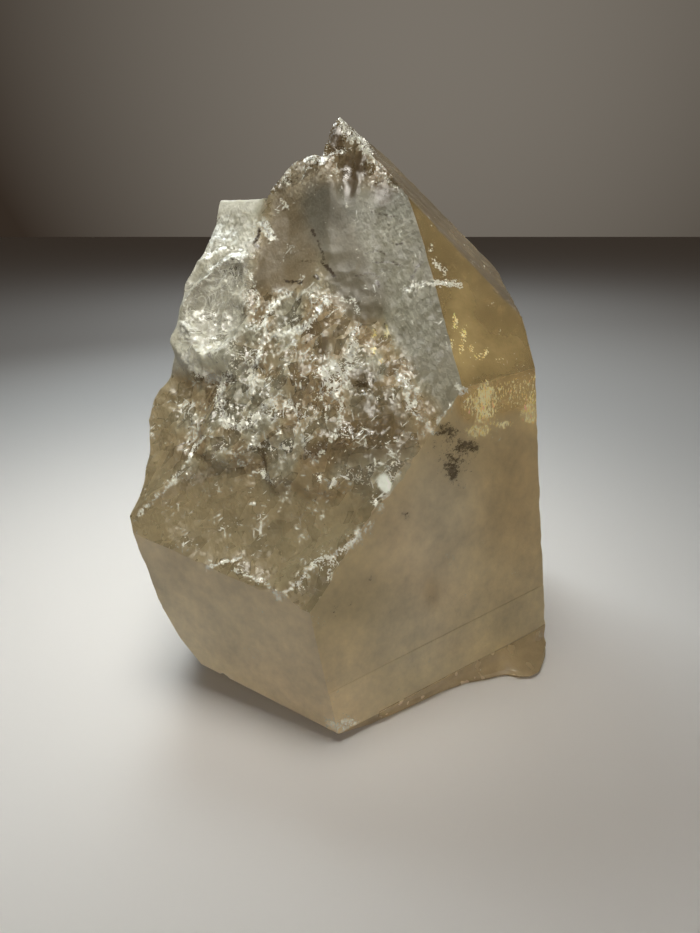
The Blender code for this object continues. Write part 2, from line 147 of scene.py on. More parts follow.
# Ridges on the break: a run of points, the width of the foot and the height.
RIB = (((-24.0, 110.0), (-26.0, 92.0), (-22.0, 76.0), (-17.0, 56.0), (-12.6, 28.0)), 14.0, 2.6)
LEFT_CREST = (((-57.0, -22.0), (-48.8, -12.0), (-40.0, -2.0), (-41.0, 17.0)), 6.0, 1.4)
FOOT_CREST = (((-33.0, -32.0), (-25.3, -29.3), (-19.8, -32.8), (-12.5, -35.0)), 3.0, 0.5)
RIGHT_CREST = (((11.0, -12.0), (1.7, -22.4), (-6.0, -30.2), (-9.6, -36.1)), 6.0, 2.0)

# Hollows in the break: centre, radii and depth.
RIB_HOLLOWS = (
    ((-19.0, 92.0), (4.5, 12.0), 1.6), ((-7.0, 91.0), (7.0, 11.0), 1.2), ((-33.0, 74.0), (9.0, 17.0), 0.4),
)
LOW_BOWL = ((-20.0, -13.0), (31.0, 21.0), 3.2)

# The swelling that carries the tip.
TIP_ACROSS = -24.0
TIP_SPREAD = 44.0
TIP_SWELL = 3.6
TIP_RISE = (66.0, 108.0)

# The pale piece at the top left: its right edge and foot, how far it stands up, and its shell.
PALE_EDGE = (-38.5, -43.5)
PALE_LEAN = 0.12
PALE_MIDDLE = (-52.0, 45.0)
PALE_FOOT = 22.5
PALE_FOOT_BEND = 0.2
PALE_FOOT_SLOPE = 0.35
PALE_LIP_FROM = -1.6
PALE_LIP_TO = 1.0
PALE_STEP = 2.2
PALE_SETBACK = 3.6
PALE_SETBACK_UP = (56.0, 78.0)
SHELL = ((-48.5, 43.0), (10.5, 15.5))
SHELL_DEPTH = 3.4
SHELL_RIM = 0.9
SHELL_RIM_WIDTH = 0.22

# The crushed step across the middle.
LEDGE_FOOT = -7.0
LEDGE_HEIGHT = 1.9
LEDGE_TOP = (40.0, 16.0)
LEDGE_RIGHT = (23.0, 9.0)
LEDGE_LEFT = (-47.0, -39.0)
TOOTH_PITCH = 19.0
TOOTH_LENGTH = 9.0
TOOTH_SLANT = 0.15
# Its foot sways by this much, with this turn for each millimetre across, and is blended in.
LEDGE_SWAY = 2.0
LEDGE_SWAY_TURN = 0.11
LEDGE_BLEND = 1.2

# Left of the left crest the break slopes away: a point on the crest, the slope's direction and fall.
SLOPE_START = (-48.5, -12.0)
SLOPE_WAY = (-0.77, 0.64)
SLOPE_FALL = 0.2
SLOPE_REACH = 14.0
SLOPE_TOP = (27.0, 21.0)

# Quiet places: the pane right of the rib (edge lines as a point and a bearing) and the flat left of it.
PANE_EDGE = ((-23.0, 81.0), 30.0, 4.3)
PANE_FOOT = ((-4.5, 43.0), 40.0, 5.8)
FLAT_LEFT = (-43.0, -40.0)
FLAT_RIGHT = (-19.0, -23.0)
FLAT_FOOT = (48.0, 54.0)
CALM_TOP = (92.0, 84.0)
CALM_SHARE = 0.9

# Scallops: spacing and depth of the large and the small ones, and the share left where smooth.
LARGE_SCALLOPS = (13.0, 1.7)
SMALL_SCALLOPS = (6.5, 1.0)
LARGE_SHARE = 0.3
SMALL_SHARE = 0.25
SCALLOP_STRETCH = 0.75
# A scallop's own level is random up to this; its rim is cut off at the top; the field of them.
SCALLOP_LEVEL = 0.35
SCALLOP_TOP = 1.2
SCALLOPED_ACROSS = (-100.0, 100.0)
SCALLOPED_UP = (-100.0, 150.0)
# Where the scallops are deepest.
ROUGH_FOOT = (-6.0, 6.0)
ROUGH_TOP = (74.0, 52.0)
ROUGH_RIGHT = (16.0, 4.0)
# How far places on the break wander, and the pitch of it across and up.
WANDER = 1.3
WANDER_PITCHES = (26.0, 24.0)

# The skyline of the break: the farthest point up the slope for each place across it.
SKYLINE_ACROSS = (-46.0, -45.0, -43.7, -38.0, -33.5, -28.0, -26.8, -24.3, -20.0, -10.0, 0.0)
SKYLINE_UP = (84.0, 82.0, 86.4, 95.0, 96.7, 95.8, 106.7, 110.3, 114.0, 122.0, 130.0)
SKYLINE_NOTCH = (-46.5, -44.5)
SKYLINE_FALL = 1.2

# The broken left wall, as depths along its front edge.
WALL_UP = (-90.0, -60.0, -37.8, -28.8, -14.5, -2.4, 15.5, 25.6, 40.3, 60.0)
WALL_DEPTH = (0.6, -4.0, -6.2, -3.4, 0.6, -3.8, -2.2, -3.4, -2.0, -1.9)
WALL_MEAN = -2.6
# Its waves fade with the distance behind the break's edge, a line on the wall.
WALL_FADE = (42.0, 4.0)
WALL_EDGE = -0.8
WALL_EDGE_SLOPE = -0.83
# It stands out again low down.
WALL_LOW = (-60.0, -95.0)
WALL_LOW_RISE = 3.0
WALL_SKIN = 0.2
WALL_SCALLOPS = (15.0, 2.0)

# The flared toe under the right front face: how far it stands out along the face's foot.
TOE_ALONG = (13.0, 16.0, 22.0, 35.0, 44.0, 50.0, 54.3, 56.4, 58.8, 61.5, 65.2, 72.0, 76.5)
TOE_SPREAD = (-0.4, 0.1, 0.5, 0.6, 1.8, 4.0, 5.0, 5.9, 8.9, 10.5, 10.4, 6.5, 2.6)
TOE_SECTIONS = 96
TOE_LEVELS = 15
# The flare's section, from the foot up: height as a share of the ridge, and share of the spread.
TOE_FLARE = ((0.97, -0.12), (0.74, 0.07), (0.5, 0.24), (0.36, 0.5), (0.3, 0.8), (0.16, 1.0), (0.0, 0.93))
# Behind the ridge: how deep the toe is rooted and how high, and the lip that joins it to the face.
TOE_ROOT = 9.0
TOE_TOP = 3.0
TOE_LIP = (1.4, 0.6)
FOOT_RISE = 0.066
FOOT_SLANT = 0.25

# A thin growth step across the right front face: its depth and two points on its edge.
GROWTH_STEP = 0.25
GROWTH_LINE = ((-1.6, 0.7, 15.9), (62.4, 41.0, 22.0))
GROWTH_OVERLAP = 0.1

# Small chips off the edges and the underside: place and radius.
CHIPS = (
    ((-14.5, 6.0, 2.6), 2.6), ((-21.5, 9.6, 4.4), 2.2), ((-33.0, 15.0, 6.6), 3.0),
    ((67.5, 41.0, 2.0), 2.6), ((56.0, 43.0, 92.0), 2.4), ((59.5, 73.0, 104.5), 2.8),
    ((70.0, 96.0, 30.0), 4.0), ((-12.0, 139.0, 70.0), 5.0), ((0.2, -1.6, 2.4), 1.9),
)
CHIP_DENTS = 0.25

# The underside: shallow hollows (centre, radii, depth), with the rest left flat to rest on.
BASE_HOLLOWS = (
    ((-28.0, 60.0), (24.0, 20.0), 3.0), ((30.0, 95.0), (26.0, 18.0), 2.4),
    ((-8.0, 112.0), (20.0, 15.0), 2.8), ((38.0, 50.0), (17.0, 12.0), 1.6),
)
BASE_CLEARANCE = 0.8
BASE_LIP = 0.5
BASE_SCALLOPS = (9.0, 0.35)

# --- finer relief, which the solid doesn't have ---

# Where the crushed middle of the break fades out on each side; the tip is about half crushed.
CRUSHED_RIGHT = (26.0, 12.0)
CRUSHED_LEFT = (-62.0, -46.0)
CRUSHED_FOOT = (-14.0, 2.0)
CRUSHED_TOP = (64.0, 44.0)
CRUSHED_TIP = (80.0, 92.0)
CRUSHED_TIP_SHARE = 0.55

# Soft noise: how many sizes it mixes, and the weight of each beside the one before.
OCTAVES = 3
OCTAVE_GAIN = 0.55

# Flake scars: size and tilt, with the height where the break is clean and what crushing adds.
SMALL_FLAKES = (3.4, 1.8)
SMALL_FLAKE_HEIGHTS = (0.08, 0.75)
TINY_FLAKES = (1.6, 2.0)
TINY_FLAKE_HEIGHTS = (0.05, 0.30)
# They are drawn out up the slope, spared by most of the quiet places, and wander.
SMALL_STRETCH = 0.6
TINY_STRETCH = 0.8
FLAKE_CALM = 0.8
FLAKE_WANDER = 2.2
FLAKE_WANDER_PITCH = 15.0
WALL_FLAKES = (4.0, 1.4)
WALL_FLAKE_HEIGHT = 0.35
# A scar's own level is random up to this, and this much is taken off all of them.
FLAKE_LEVEL = 0.5
FLAKE_SETBACK = 0.45

# Slow waves (size and height) and growth steps (pitch and depth) on each kind of face.
BREAK_GRAIN = (2.4, 0.12)
WALL_GRAIN = (3.0, 0.2)
FRONT_WAVES = (22.0, 0.10)
FRONT_STEPS = (3.4, 0.05)
TIP_WAVES = (16.0, 0.08)
BEVEL_STEPS = (1.9, 0.55)
BACK_WAVES = (26.0, 0.3)
BACK_STEPS = (5.2, 0.5)
# How growth steps bend and slant, how uneven their bands are, and the profile of one step.
BACK_BEND = 0.8
BACK_BEND_PITCH = 60.0
FRONT_STEP_SLANT = 0.02
BEVEL_STEP_SLANT = 0.1
STEP_WANDER = 1.7
STEP_WANDER_PITCH = 9.0
STEP_RISE = (0.0, 0.22)
STEP_FALL = (0.6, 1.0)

# A skin that each relief takes off, so that it cuts the whole face.
FRONT_SKIN = 0.12
TIP_SKIN = 0.08
BEVEL_SKIN = 0.02
BACK_SKIN = 0.2

# --- marks on the crystal, as places in the 700 x 933 picture ---
# Each is carried onto the crystal's surface along the camera's rays.

# Bright bruises and healed cracks, with painted glints of broken facets: half width, strength and the run
# of points.
BRUISE_AND_GLINT_STROKES = (
    # the tip
    (4.5, 0.9, (342, 118), (345, 128), (352, 138)),
    (4.0, 0.9, (352, 136), (362, 141), (367, 150)),
    (2.2, 0.9, (326, 158), (334, 153), (343, 150)),
    (0.8, 0.45, (333, 160), (337, 178), (343, 196), (346, 206)),
    (1.2, 0.45, (362, 162), (364, 176)),
    (2.0, 0.5, (368, 150), (377, 166), (392, 184), (406, 196)),
    (5.0, 0.75, (292, 161), (302, 154), (312, 157), (320, 160)),
    (2.5, 0.6, (270, 190), (277, 178), (288, 170)),
    (3.5, 0.6, (283, 176), (287, 182)),
    (2.6, 0.6, (283, 200), (286, 207)),
    # the rift beside the pale piece
    (4.0, 0.95, (263, 222), (268, 230), (271, 237)),
    (
        2.6, 0.85, (292, 293), (280, 297), (272, 307), (264, 320),
        (266, 330), (262, 340), (259, 352), (256, 366),
    ),
    (2.6, 0.8, (264, 341), (280, 334), (293, 330), (305, 328), (315, 317), (321, 308)),
    (4.0, 0.95, (291, 331), (300, 329), (306, 327)),
    (3.0, 0.95, (325, 300), (328, 303)),
    # the pale column right of the middle
    (3.0, 0.55, (344, 300), (356, 302), (357, 316)),
    (2.0, 0.7, (357, 322), (354, 330), (351, 338)),
    (4.0, 0.85, (354, 343), (351, 352), (349, 362), (346, 374), (345, 386)),
    (4.6, 1.0, (325, 369), (327, 375)),
    (5.2, 1.0, (334, 366), (338, 371)),
    (1.8, 0.8, (330, 391), (335, 397), (342, 400), (344, 392)),
    (1.8, 0.5, (352, 391), (366, 394), (378, 399)),
    (3.0, 0.75, (396, 372), (401, 378), (407, 384)),
    (2.6, 0.9, (407, 392), (408, 402), (410, 408)),
    (2.4, 0.9, (416, 390), (416, 398), (413, 405)),
    (2.2, 0.75, (414, 412), (422, 420), (429, 428), (434, 434)),
    (2.4, 0.6, (436, 425), (446, 413), (452, 403)),
    (3.0, 0.85, (458, 386), (462, 392), (466, 390)),
    # the crushed middle
    (5.0, 0.8, (271, 401), (263, 411), (252, 421), (238, 427), (226, 424)),
    (1.5, 0.75, (270, 401), (278, 413), (278, 437)),
    (1.6, 0.75, (290, 402), (299, 417), (301, 433), (305, 451), (316, 463)),
    (1.8, 0.55, (318, 455), (326, 448), (332, 436)),
    (3.2, 0.7, (341, 406), (341, 418), (338, 428), (335, 437)),
    (1.5, 0.6, (312, 388), (320, 392), (325, 402)),
    (1.4, 0.6, (306, 398), (314, 410), (318, 424)),
    (1.4, 0.6, (318, 396), (326, 408), (327, 420)),
    (2.0, 0.7, (248, 384), (262, 380), (270, 378)),
    (2.4, 0.95, (250, 377), (256, 375)),
    (2.4, 0.8, (228, 372), (229, 381)),
    (4.0, 0.85, (222, 386), (219, 396), (221, 408), (224, 418)),
    (2.6, 0.75, (248, 447), (260, 445), (272, 449)),
    (2.0, 0.85, (282, 447), (288, 450), (295, 446)),
    (2.2, 0.6, (222, 449), (234, 455), (244, 452)),
    (2.4, 0.8, (238, 461), (241, 466), (247, 464)),
    (3.0, 0.7, (262, 472), (268, 478), (274, 481)),
    (2.6, 0.7, (318, 474), (320, 481)),
    (2.8, 0.95, (331, 486), (335, 482)),
    (1.6, 0.7, (344, 464), (350, 467)),
    (1.6, 0.7, (368, 469), (374, 470)),
    (1.6, 0.55, (390, 438), (397, 441), (403, 432), (412, 438)),
    (3.0, 0.6, (386, 447), (391, 453)),
    (1.6, 0.6, (356, 474), (359, 482)),
    (4.0, 0.45, (288, 488), (284, 499)),
    (1.8, 0.8, (250, 505), (256, 504)),
    (3.0, 0.4, (316, 500), (320, 509), (323, 518)),
    (3.0, 0.6, (376, 500), (380, 508)),
    # ridges low down
    (2.0, 0.7, (204, 437), (194, 450), (185, 466), (171, 483), (152, 502), (136, 518)),
    (2.6, 0.8, (168, 486), (174, 481)),
    (
        2.6, 0.72, (370, 525), (356, 539), (344, 549), (332, 556),
        (314, 563), (300, 580), (287, 592), (279, 597),
    ),
    (7.0, 0.46, (366, 530), (346, 549), (318, 566), (300, 582)),
    (2.6, 0.95, (358, 537), (346, 547)),
    (2.4, 0.7, (329, 570), (330, 578)),
    (2.0, 0.85, (207, 568), (222, 563), (238, 559)),
    (2.0, 0.75, (233, 570), (250, 577), (262, 581), (272, 589), (281, 596)),
    # the pale piece
    (4.2, 1.0, (184, 357), (190, 365), (200, 372), (212, 378), (221, 380)),
    (3.4, 0.7, (196, 338), (210, 346), (226, 344)),
    (3.4, 0.6, (190, 340), (184, 330), (188, 312)),
    (1.8, 0.65, (208, 258), (222, 247), (240, 248), (252, 256)),
    (1.6, 0.6, (212, 270), (226, 259), (243, 262)),
    (2.0, 0.7, (244, 266), (254, 284), (258, 304), (252, 322)),
    (1.2, 0.65, (240, 274), (248, 292), (250, 312)),
    (1.2, 0.6, (233, 276), (242, 294), (243, 314)),
    (1.0, 0.5, (226, 280), (234, 296), (235, 316)),
    # scratches on the tip's front face
    (1.2, 0.8, (431, 244), (432, 253)),
    (3.0, 0.6, (432, 262), (438, 266), (444, 272)),
    (2.6, 0.85, (404, 289), (416, 285), (432, 283), (446, 284), (460, 284)),
    # scuff on the front bottom corner
    (6.0, 0.6, (331, 723), (341, 726), (352, 722)),
    (2.4, 0.6, (534, 644), (541, 650)),
    (4.0, 0.35, (448, 555), (452, 560)),
)
# The bright oval, a painted highlight on a clean pane: centre, radii, softness and turn, then its place on
# the break and the flat about it.
OVAL_HIGHLIGHT = ((384, 483), (7.2, 9.6), 0.12, -18.0)
OVAL_PLACE = (10.4, -3.7)
OVAL_RIM = (4.6, 3.2)

# Dark cracks, as the white strokes are, and dirt: centre, radii and strength.
DARK_STROKES = (
    (1.0, 0.85, (312, 229), (315, 236)),
    (0.9, 0.75, (318, 240), (320, 248), (323, 259)),
    (1.2, 1.0, (323, 262), (329, 268), (335, 277)),
    (0.8, 0.6, (300, 260), (312, 261), (325, 260)),
    (1.0, 0.85, (285, 281), (294, 283), (302, 281)),
    (1.3, 0.9, (316, 275), (317, 279)),
    (1.3, 0.9, (377, 282), (378, 286)),
    # at the foot of the pale piece's step: a dark crack with painted shade in the crevice
    (1.4, 0.85, (260, 229), (257, 237), (255, 243)),
    (1.1, 0.8, (256, 243), (259, 250)),
    (0.8, 0.72, (365, 253), (378, 251), (392, 255)),
    (0.8, 0.68, (372, 262), (388, 262), (402, 266)),
    (0.8, 0.68, (358, 276), (368, 273), (378, 276)),
    (0.8, 0.65, (378, 270), (392, 271)),
    (0.8, 0.65, (372, 212), (384, 214), (398, 218)),
    (0.8, 0.62, (386, 240), (394, 244), (404, 243)),
    (0.9, 0.75, (421, 261), (415, 270), (411, 279)),
    (1.2, 0.55, (275, 546), (279, 551), (283, 558)),
    (2.0, 0.5, (219, 322), (225, 331)),
    (1.6, 0.4, (222, 306), (226, 312)),
    (2.0, 0.5, (400, 512), (407, 518)),
)
DIRT_PATCHES = (
    ((362, 384), (13, 8), 0.9),
    ((371, 379), (9, 10), 0.7),
    ((447, 431), (13, 8), 1.0),
    ((467, 446), (15, 9), 1.0),
    ((457, 452), (30, 32), 0.64),
    ((452, 468), (12, 16), 0.95),
    ((460, 488), (7, 9), 0.6),
    ((406, 515), (4, 5), 0.8),
    ((402, 500), (8, 14), 0.42),
    ((231, 218), (5, 1.6), 0.45),
    ((243, 218), (4, 1.6), 0.4),
    ((334, 612), (18, 12), 0.45),
    ((352, 604), (10, 8), 0.45),
    ((370, 580), (5, 6), 0.6),
    ((432, 598), (6, 4), 0.6),
)

# Golden, rainbow-edged fractures seen through the faces, painted as the light they reflect: centre, radii
# and strength.
GOLD_REFLECTION_PATCHES = (
    ((455, 322), (3, 9), 0.8),
    ((464, 334), (3, 10), 0.8),
    ((461, 348), (3, 6), 0.7),
    ((452, 342), (2, 8), 0.7),
    ((471, 349), (3, 5), 0.6),
    ((500, 360), (5, 3), 0.55),
    ((480, 357), (5, 4), 0.7),
    ((486, 352), (3, 5), 0.7),
    ((486, 395), (8, 13), 0.9),
    ((483, 412), (8, 10), 0.8),
    ((478, 432), (13, 6), 0.8),
    ((503, 424), (13, 4), 0.7),
    ((528, 409), (9, 7), 0.7),
    ((532, 385), (5, 9), 0.5),
    ((530, 420), (8, 3), 0.8),
    ((374, 335), (3, 6), 0.75),
    ((387, 332), (3, 8), 0.75),
    ((374, 350), (4, 4), 0.7),
    ((381, 361), (4, 4), 0.6),
)

# Places on the break with a look of their own: the look's name, centre, radii and softness.
BREAK_PATCHES = (
    # Facets down the rib's flank and the tip, painted dark as painted shade.
    ("shaded facet", (335, 140), (8, 14), 0.4),
    ("shaded facet", (350, 176), (9, 24), 0.4),
    ("shaded facet", (361, 165), (6, 16), 0.4),
    ("shaded facet", (384, 196), (9, 12), 0.4),
    ("smoky hollow", (362, 380), (16, 12), 0.6),
    ("smoky hollow", (378, 412), (28, 24), 0.6),
    ("smoky hollow", (392, 440), (24, 22), 0.6),
    ("smoky hollow", (345, 445), (34, 22), 0.6),
    ("smoky hollow", (322, 345), (6, 18), 0.6),
    ("light facet", (306, 182), (24, 18), 0.7),
)
SHELL_CORNER = ((236, 233), (26, 17), 0.6)
PALE_LIP = ((216, 352), (32, 16), 0.6)
DARK_BAND = ((322, 205), (336, 240), (350, 280), (366, 300))
DARK_BAND_EDGE = (30.0, 12.0)

# Cloudy places on the right front face: centre, radii, strength and colour. The warm one near the bottom
# corner is a painted glow.
VEILS = (
    ((425, 570), (48, 85), 0.6, (0.82, 0.71, 0.52)),
    ((440, 500), (34, 46), 0.6, (0.68, 0.65, 0.50)),
    ((404, 640), (30, 40), 0.4, (0.74, 0.68, 0.50)),
    # a warm painted glow near the bottom corner
    ((350, 690), (46, 46), 0.6, (0.86, 0.72, 0.48)),
    ((520, 500), (34, 95), 0.75, (0.50, 0.38, 0.19)),
    ((360, 590), (34, 30), 0.3, (0.66, 0.56, 0.33)),
    ((432, 592), (7, 14), 0.5, (0.56, 0.42, 0.20)),
)

# A golden fracture across the face's top, painted as the light it reflects: its run, how far it reaches
# and the glows on it.
GOLDEN_FRACTURE = ((474, 404), (500, 396), (524, 389), (542, 386))
HONEY_EDGE = (24.0, 14.0)
FRACTURE_EDGE = (20.0, 10.0)
FRACTURE_GOLD = 0.42
GLOW_GOLD = 0.75
FRACTURE_GLOWS = (((485, 404), (15, 24), 0.9), ((531, 404), (15, 22), 0.7))
# Light that comes back through the tip's front face and low through the left front face.
TIP_GLOWS = (((460, 335), (16, 46), 0.6), ((492, 352), (34, 20), 0.4))
LOW_GLOW = ((312, 690), (60, 60), 0.9)

# How painted lines wander (pitch and width), how far they fade, and how ragged edges are.
MARK_WANDER = (6.0, 5.0)
STROKE_FADE = 2.2
STROKE_RAGGED = 0.9
STROKE_RAGGED_PITCH = 4.0
PATCH_RAGGED = 0.5
# The pitch of a patch's ragged edge: a share of its smaller radius, on top of a least pitch.
PATCH_PITCH_SHARE = 0.5
PATCH_PITCH_LEAST = 1.5
CRACK_HALO = 2.6

# How soft the edges of patches are.
DIRT_SOFT = 0.9
GOLD_SOFT = 0.7
GLOW_SOFT = 0.9
FRACTURE_SOFT = 0.8

# The break's mottle: its size, and the part of it that is grey, brown or a fleck.
MOTTLE_SIZE = 9.0
MOTTLE_GREY = (0.35, 0.65)
MOTTLE_BROWN = (0.5, 0.3)
PALE_FLECKS = (0.45, 0.6)

# Where the paint on the break changes, across it or up it, and around the shell.
PANE_SIDE = (-24.0, -19.0)
PALE_PAINT_EDGE = (-39.0, -45.0)
PALE_PAINT_FOOT = (20.0, 25.0)
PALE_TOP = (78.0, 82.0)
FAN_EDGE = (1.35, 1.1)

# --- colours and looks ---

WHITE = (0.97, 1.0, 0.95)
FROSTY = (0.80, 0.82, 0.70)
DARK = (0.045, 0.026, 0.007)
SOOT = (0.13, 0.10, 0.04)
CREAM = (0.72, 0.74, 0.60)
SHELL_GREY = (0.47, 0.47, 0.37)
GLOW = (0.98, 0.78, 0.36)

# What each kind of face is like before its marks: colour, clearness, roughness, sparkle.
GROUND = {
    "plain": ((0.50, 0.40, 0.24), 0.50, 0.35, 0.0),
    "right_front": ((0.74, 0.62, 0.36), 0.42, 0.36, 0.0),
    "left_front": ((0.76, 0.65, 0.43), 0.38, 0.40, 0.0),
    "tip_front": ((0.58, 0.45, 0.21), 0.68, 0.18, 0.0),
    "tip_bevel": ((0.56, 0.49, 0.36), 0.65, 0.14, 0.1),
    "back": ((0.52, 0.42, 0.27), 0.60, 0.25, 0.0),
    "wall": ((0.53, 0.43, 0.27), 0.50, 0.30, 0.34),
    "break": ((0.58, 0.49, 0.29), 0.52, 0.30, 0.46),
    "toe": ((0.60, 0.47, 0.27), 0.40, 0.25, 0.0),
    "chip": ((0.80, 0.76, 0.66), 0.25, 0.35, 0.6),
    "base": ((0.30, 0.25, 0.17), 0.25, 0.60, 0.1),
}
# Until the crystal is painted, a material with this before the kind's name marks each kind.
KIND_MARK = "kind_"

# What a place is painted towards: how far, colour, clearness, roughness, sparkle. None keeps it.
LOOKS = {
    "crushed grey": (0.75, (0.50, 0.53, 0.42), None, None, 0.9),
    "crushed brown": (0.7, (0.46, 0.36, 0.21), 0.55, None, None),
    "crushed": (0.85, None, None, None, 0.9),
    "pane": (0.9, (0.36, 0.38, 0.29), 0.60, 0.48, 0.45),
    "flat": (0.9, (0.33, 0.265, 0.15), 0.55, 0.5, 0.28),
    "tip": (0.6, (0.32, 0.23, 0.115), 0.5, None, 0.7),
    # Painted shade on facets down the rib's flank and the tip.
    "shaded facet": (0.8, (0.13, 0.09, 0.045), 0.45, 0.3, 0.15),
    "smoky hollow": (0.75, (0.22, 0.17, 0.09), 0.5, 0.3, 0.45),
    "light facet": (0.7, (0.60, 0.53, 0.38), 0.45, None, 0.75),
    "dark band": (0.9, (0.24, 0.23, 0.16), 0.6, 0.55, 0.25),
    "pale": (0.85, CREAM, 0.34, 0.42, 0.55),
    "pale top": (1.0, CREAM, 0.15, 0.4, 0.0),
    "pale fleck": (0.35, WHITE, None, None, 0.9),
    "pale lip": (0.6, CREAM, 0.3, None, None),
    "shell corner": (0.55, SHELL_GREY, None, None, None),
    "shell": (0.8, SHELL_GREY, 0.45, 0.35, 0.6),
    # The bright oval is a painted highlight.
    "oval": (1.0, (0.93, 1.0, 0.93), 0.0, 0.3, 0.0),
    "tip glow": (1.0, GLOW, 0.5, None, None),
    "fracture glow": (0.6, GLOW, None, None, None),
    "low glow": (0.6, (0.86, 0.71, 0.48), None, None, None),
    "honey": (0.75, (0.66, 0.46, 0.18), 0.35, 0.22, None),
}

# --- the material's grain, in metres ---

# Clear smoky quartz, and how much of the light a flaw in it shuts out.
QUARTZ_IOR = 1.544
SMOKE_TINT = (0.66, 0.48, 0.24, 1.0)
SMOKE_DENSITY = 12.0
FLAW_CLOSES = 0.9

# A noise is given as scale, detail and roughness; an edge as where a value starts to count and
# where it counts in full; a shade as what a value is multiplied by and what is added.
CLOUDY = (70.0, 2.0, 0.6)
CLOUDY_EDGE = (0.25, 0.75)
CLOUDY_SHADE = (0.30, 0.85)
STONE_MOTTLE = (330.0, 2.0, 0.7)
MOTTLE_SHADE = (0.48, -0.24)
ROUGH_GRAIN = (260.0, 1.0, 0.5)
ROUGH_SHARE = (0.16, -0.08)
BLACK_GLOSS = 0.1
WHITE_GLOSS = 0.24
SKIN = (900.0, 2.0, 0.5)
SKIN_HEIGHT = 0.00005

# A bruise or painted glint shows where the painted frost outdoes a doubt cast by splinters and grit.
GRIT = (1900.0, 2.0, 0.6)
GRIT_EDGE = (0.34, 0.66)
FROST_REACH = 0.95
SPLINTER_DOUBT = 0.40
GRIT_DOUBT = 0.60
BRUISE_EDGE = (0.0, 0.10)

# Dirt sits in smudges with a haze about them; cracks are beaded.
SMUDGE = (900.0, 4.0, 0.85)
SMUDGE_STRETCH = (0.7, 0.7, 1.0)
DIRT_REACH = 0.46
STAIN_EDGE = (0.78, 0.92)
STAIN_DEPTH = 0.85
HAZE = (0.5, 0.15)
BEADS = (1000.0, 1.0, 0.5)
BEADING = 0.3
CRACK_EDGE = (0.30, 0.75)

# A golden fracture shows in flecks of painted reflection, in the colours of a rainbow that starts with
# gold.
FLECK = (1700.0, 3.0, 0.7)
FLECK_EDGE = (0.30, 0.70)
GOLD_REACH = 1.45
SHINE_EDGE = (0.22, 0.46)
FRACTURE_STRETCH = (1.0, 1.0, 0.5)
RAINBOW_NOISE = (800.0, 2.0, 0.7)
RAINBOW = (
    (0.30, (0.84, 0.92, 0.40)), (0.38, (1.0, 0.80, 0.28)), (0.50, (1.0, 1.0, 0.70)),
    (0.60, (1.0, 0.78, 0.26)), (0.72, (1.0, 0.56, 0.50)),
)

# Bright threads in the crushed stone, white crushing and painted glints along facet edges: direction,
# scale and how drawn out.
THREADS = ((20.0, 1600.0, 8.0), (-38.0, 1500.0, 7.0), (80.0, 1500.0, 5.0), (0.0, 1700.0, 1.0))
THREAD_GRAIN = (1.0, 0.5)
THREAD_PATCHES = (130.0, 2.0, 0.6)
THREAD_PATCHINESS = 0.5
THREAD_ROOM = (0.17, -0.25)
THREAD_EDGE = (0.82, 0.87)

# Splinters: direction, how drawn out and scale; then how much each one's tilt, its painted light (lighter
# or darker, as a facet that catches the light or not) and gloss differ, the share that are glossy, and how
# loose they are where the stone is white and everywhere.
FINE_SHARDS = (35.0, 1.6, 1200.0)
BIG_SHARDS = (-30.0, 1.5, 360.0)
FINE_TILT = 0.85
BIG_TILT = 0.5
SPLINTER_PAINTED_LIGHT = 0.9
SPLINTER_GLOSS = 0.25
GLOSSY_SHARE = 0.6
LOOSE_WHERE_WHITE = 0.8
LOOSE_EVERYWHERE = 0.04

# Fibres of the shell: rings and rays as turns, steps and edge, and how far they wander.
FIBRE_RINGS = (1.1, 1700.0, (0.52, 0.60))
FIBRE_RAYS = (30.0, 110.0, (0.53, 0.61))
FIBRE_NOISE = (1.0, 2.0, 0.5)
FIBRE_STRENGTH = 0.9
FIBRE_WANDER = 0.009
FIBRE_ACROSS = (140.0, 2.0, 0.5)
FIBRE_UP = (110.0, 2.0, 0.5)


# --- numbers on a surface ---


def smooth(a, b, x):
    """0 at a and 1 at b, with a smooth curve between them."""
    u = np.clip((x - a) / (b - a), 0.0, 1.0)
    return u * u * (3.0 - 2.0 * u)


def from_line(s, t, line):
    """Distance to a run of points."""
    best = np.full(np.shape(s), FAR)
    for (s0, t0), (s1, t1) in zip(line[:-1], line[1:]):
        ds = s1 - s0
        dt = t1 - t0
        k = np.clip(((s - s0) * ds + (t - t0) * dt) / (ds * ds + dt * dt), 0.0, 1.0)
        best = np.minimum(best, np.hypot(s - s0 - k * ds, t - t0 - k * dt))
    return best


def crest(s, t, line, width, height):
    """A ridge with a sharp top along a run of points."""
    return height * np.clip(1.0 - from_line(s, t, line) / width, 0.0, None)


def hollow(s, t, centre, radii, depth):
    r = ((s - centre[0]) / radii[0]) ** 2 + ((t - centre[1]) / radii[1]) ** 2
    return -depth * np.clip(1.0 - r, 0.0, None)


def scallops(s, t, spacing, depth, seed):
    """Shallow shell-shaped hollows that meet in sharp ridges."""
    rng = np.random.default_rng(seed)
    result = np.full(np.shape(s), FAR)
    across = np.arange(*SCALLOPED_ACROSS, spacing)
    for row, up in enumerate(np.arange(*SCALLOPED_UP, spacing)):
        for column in across:
            cs = column + spacing * (rng.random() + 0.5 * (row % 2))
            ct = up + spacing * rng.random()
            level = SCALLOP_LEVEL * rng.random()
            r2 = ((s - cs) ** 2 + (t - ct) ** 2) / spacing**2
            result = np.minimum(result, r2 + level)
    return depth * (np.clip(result, 0.0, SCALLOP_TOP) - SCALLOP_LEVEL)


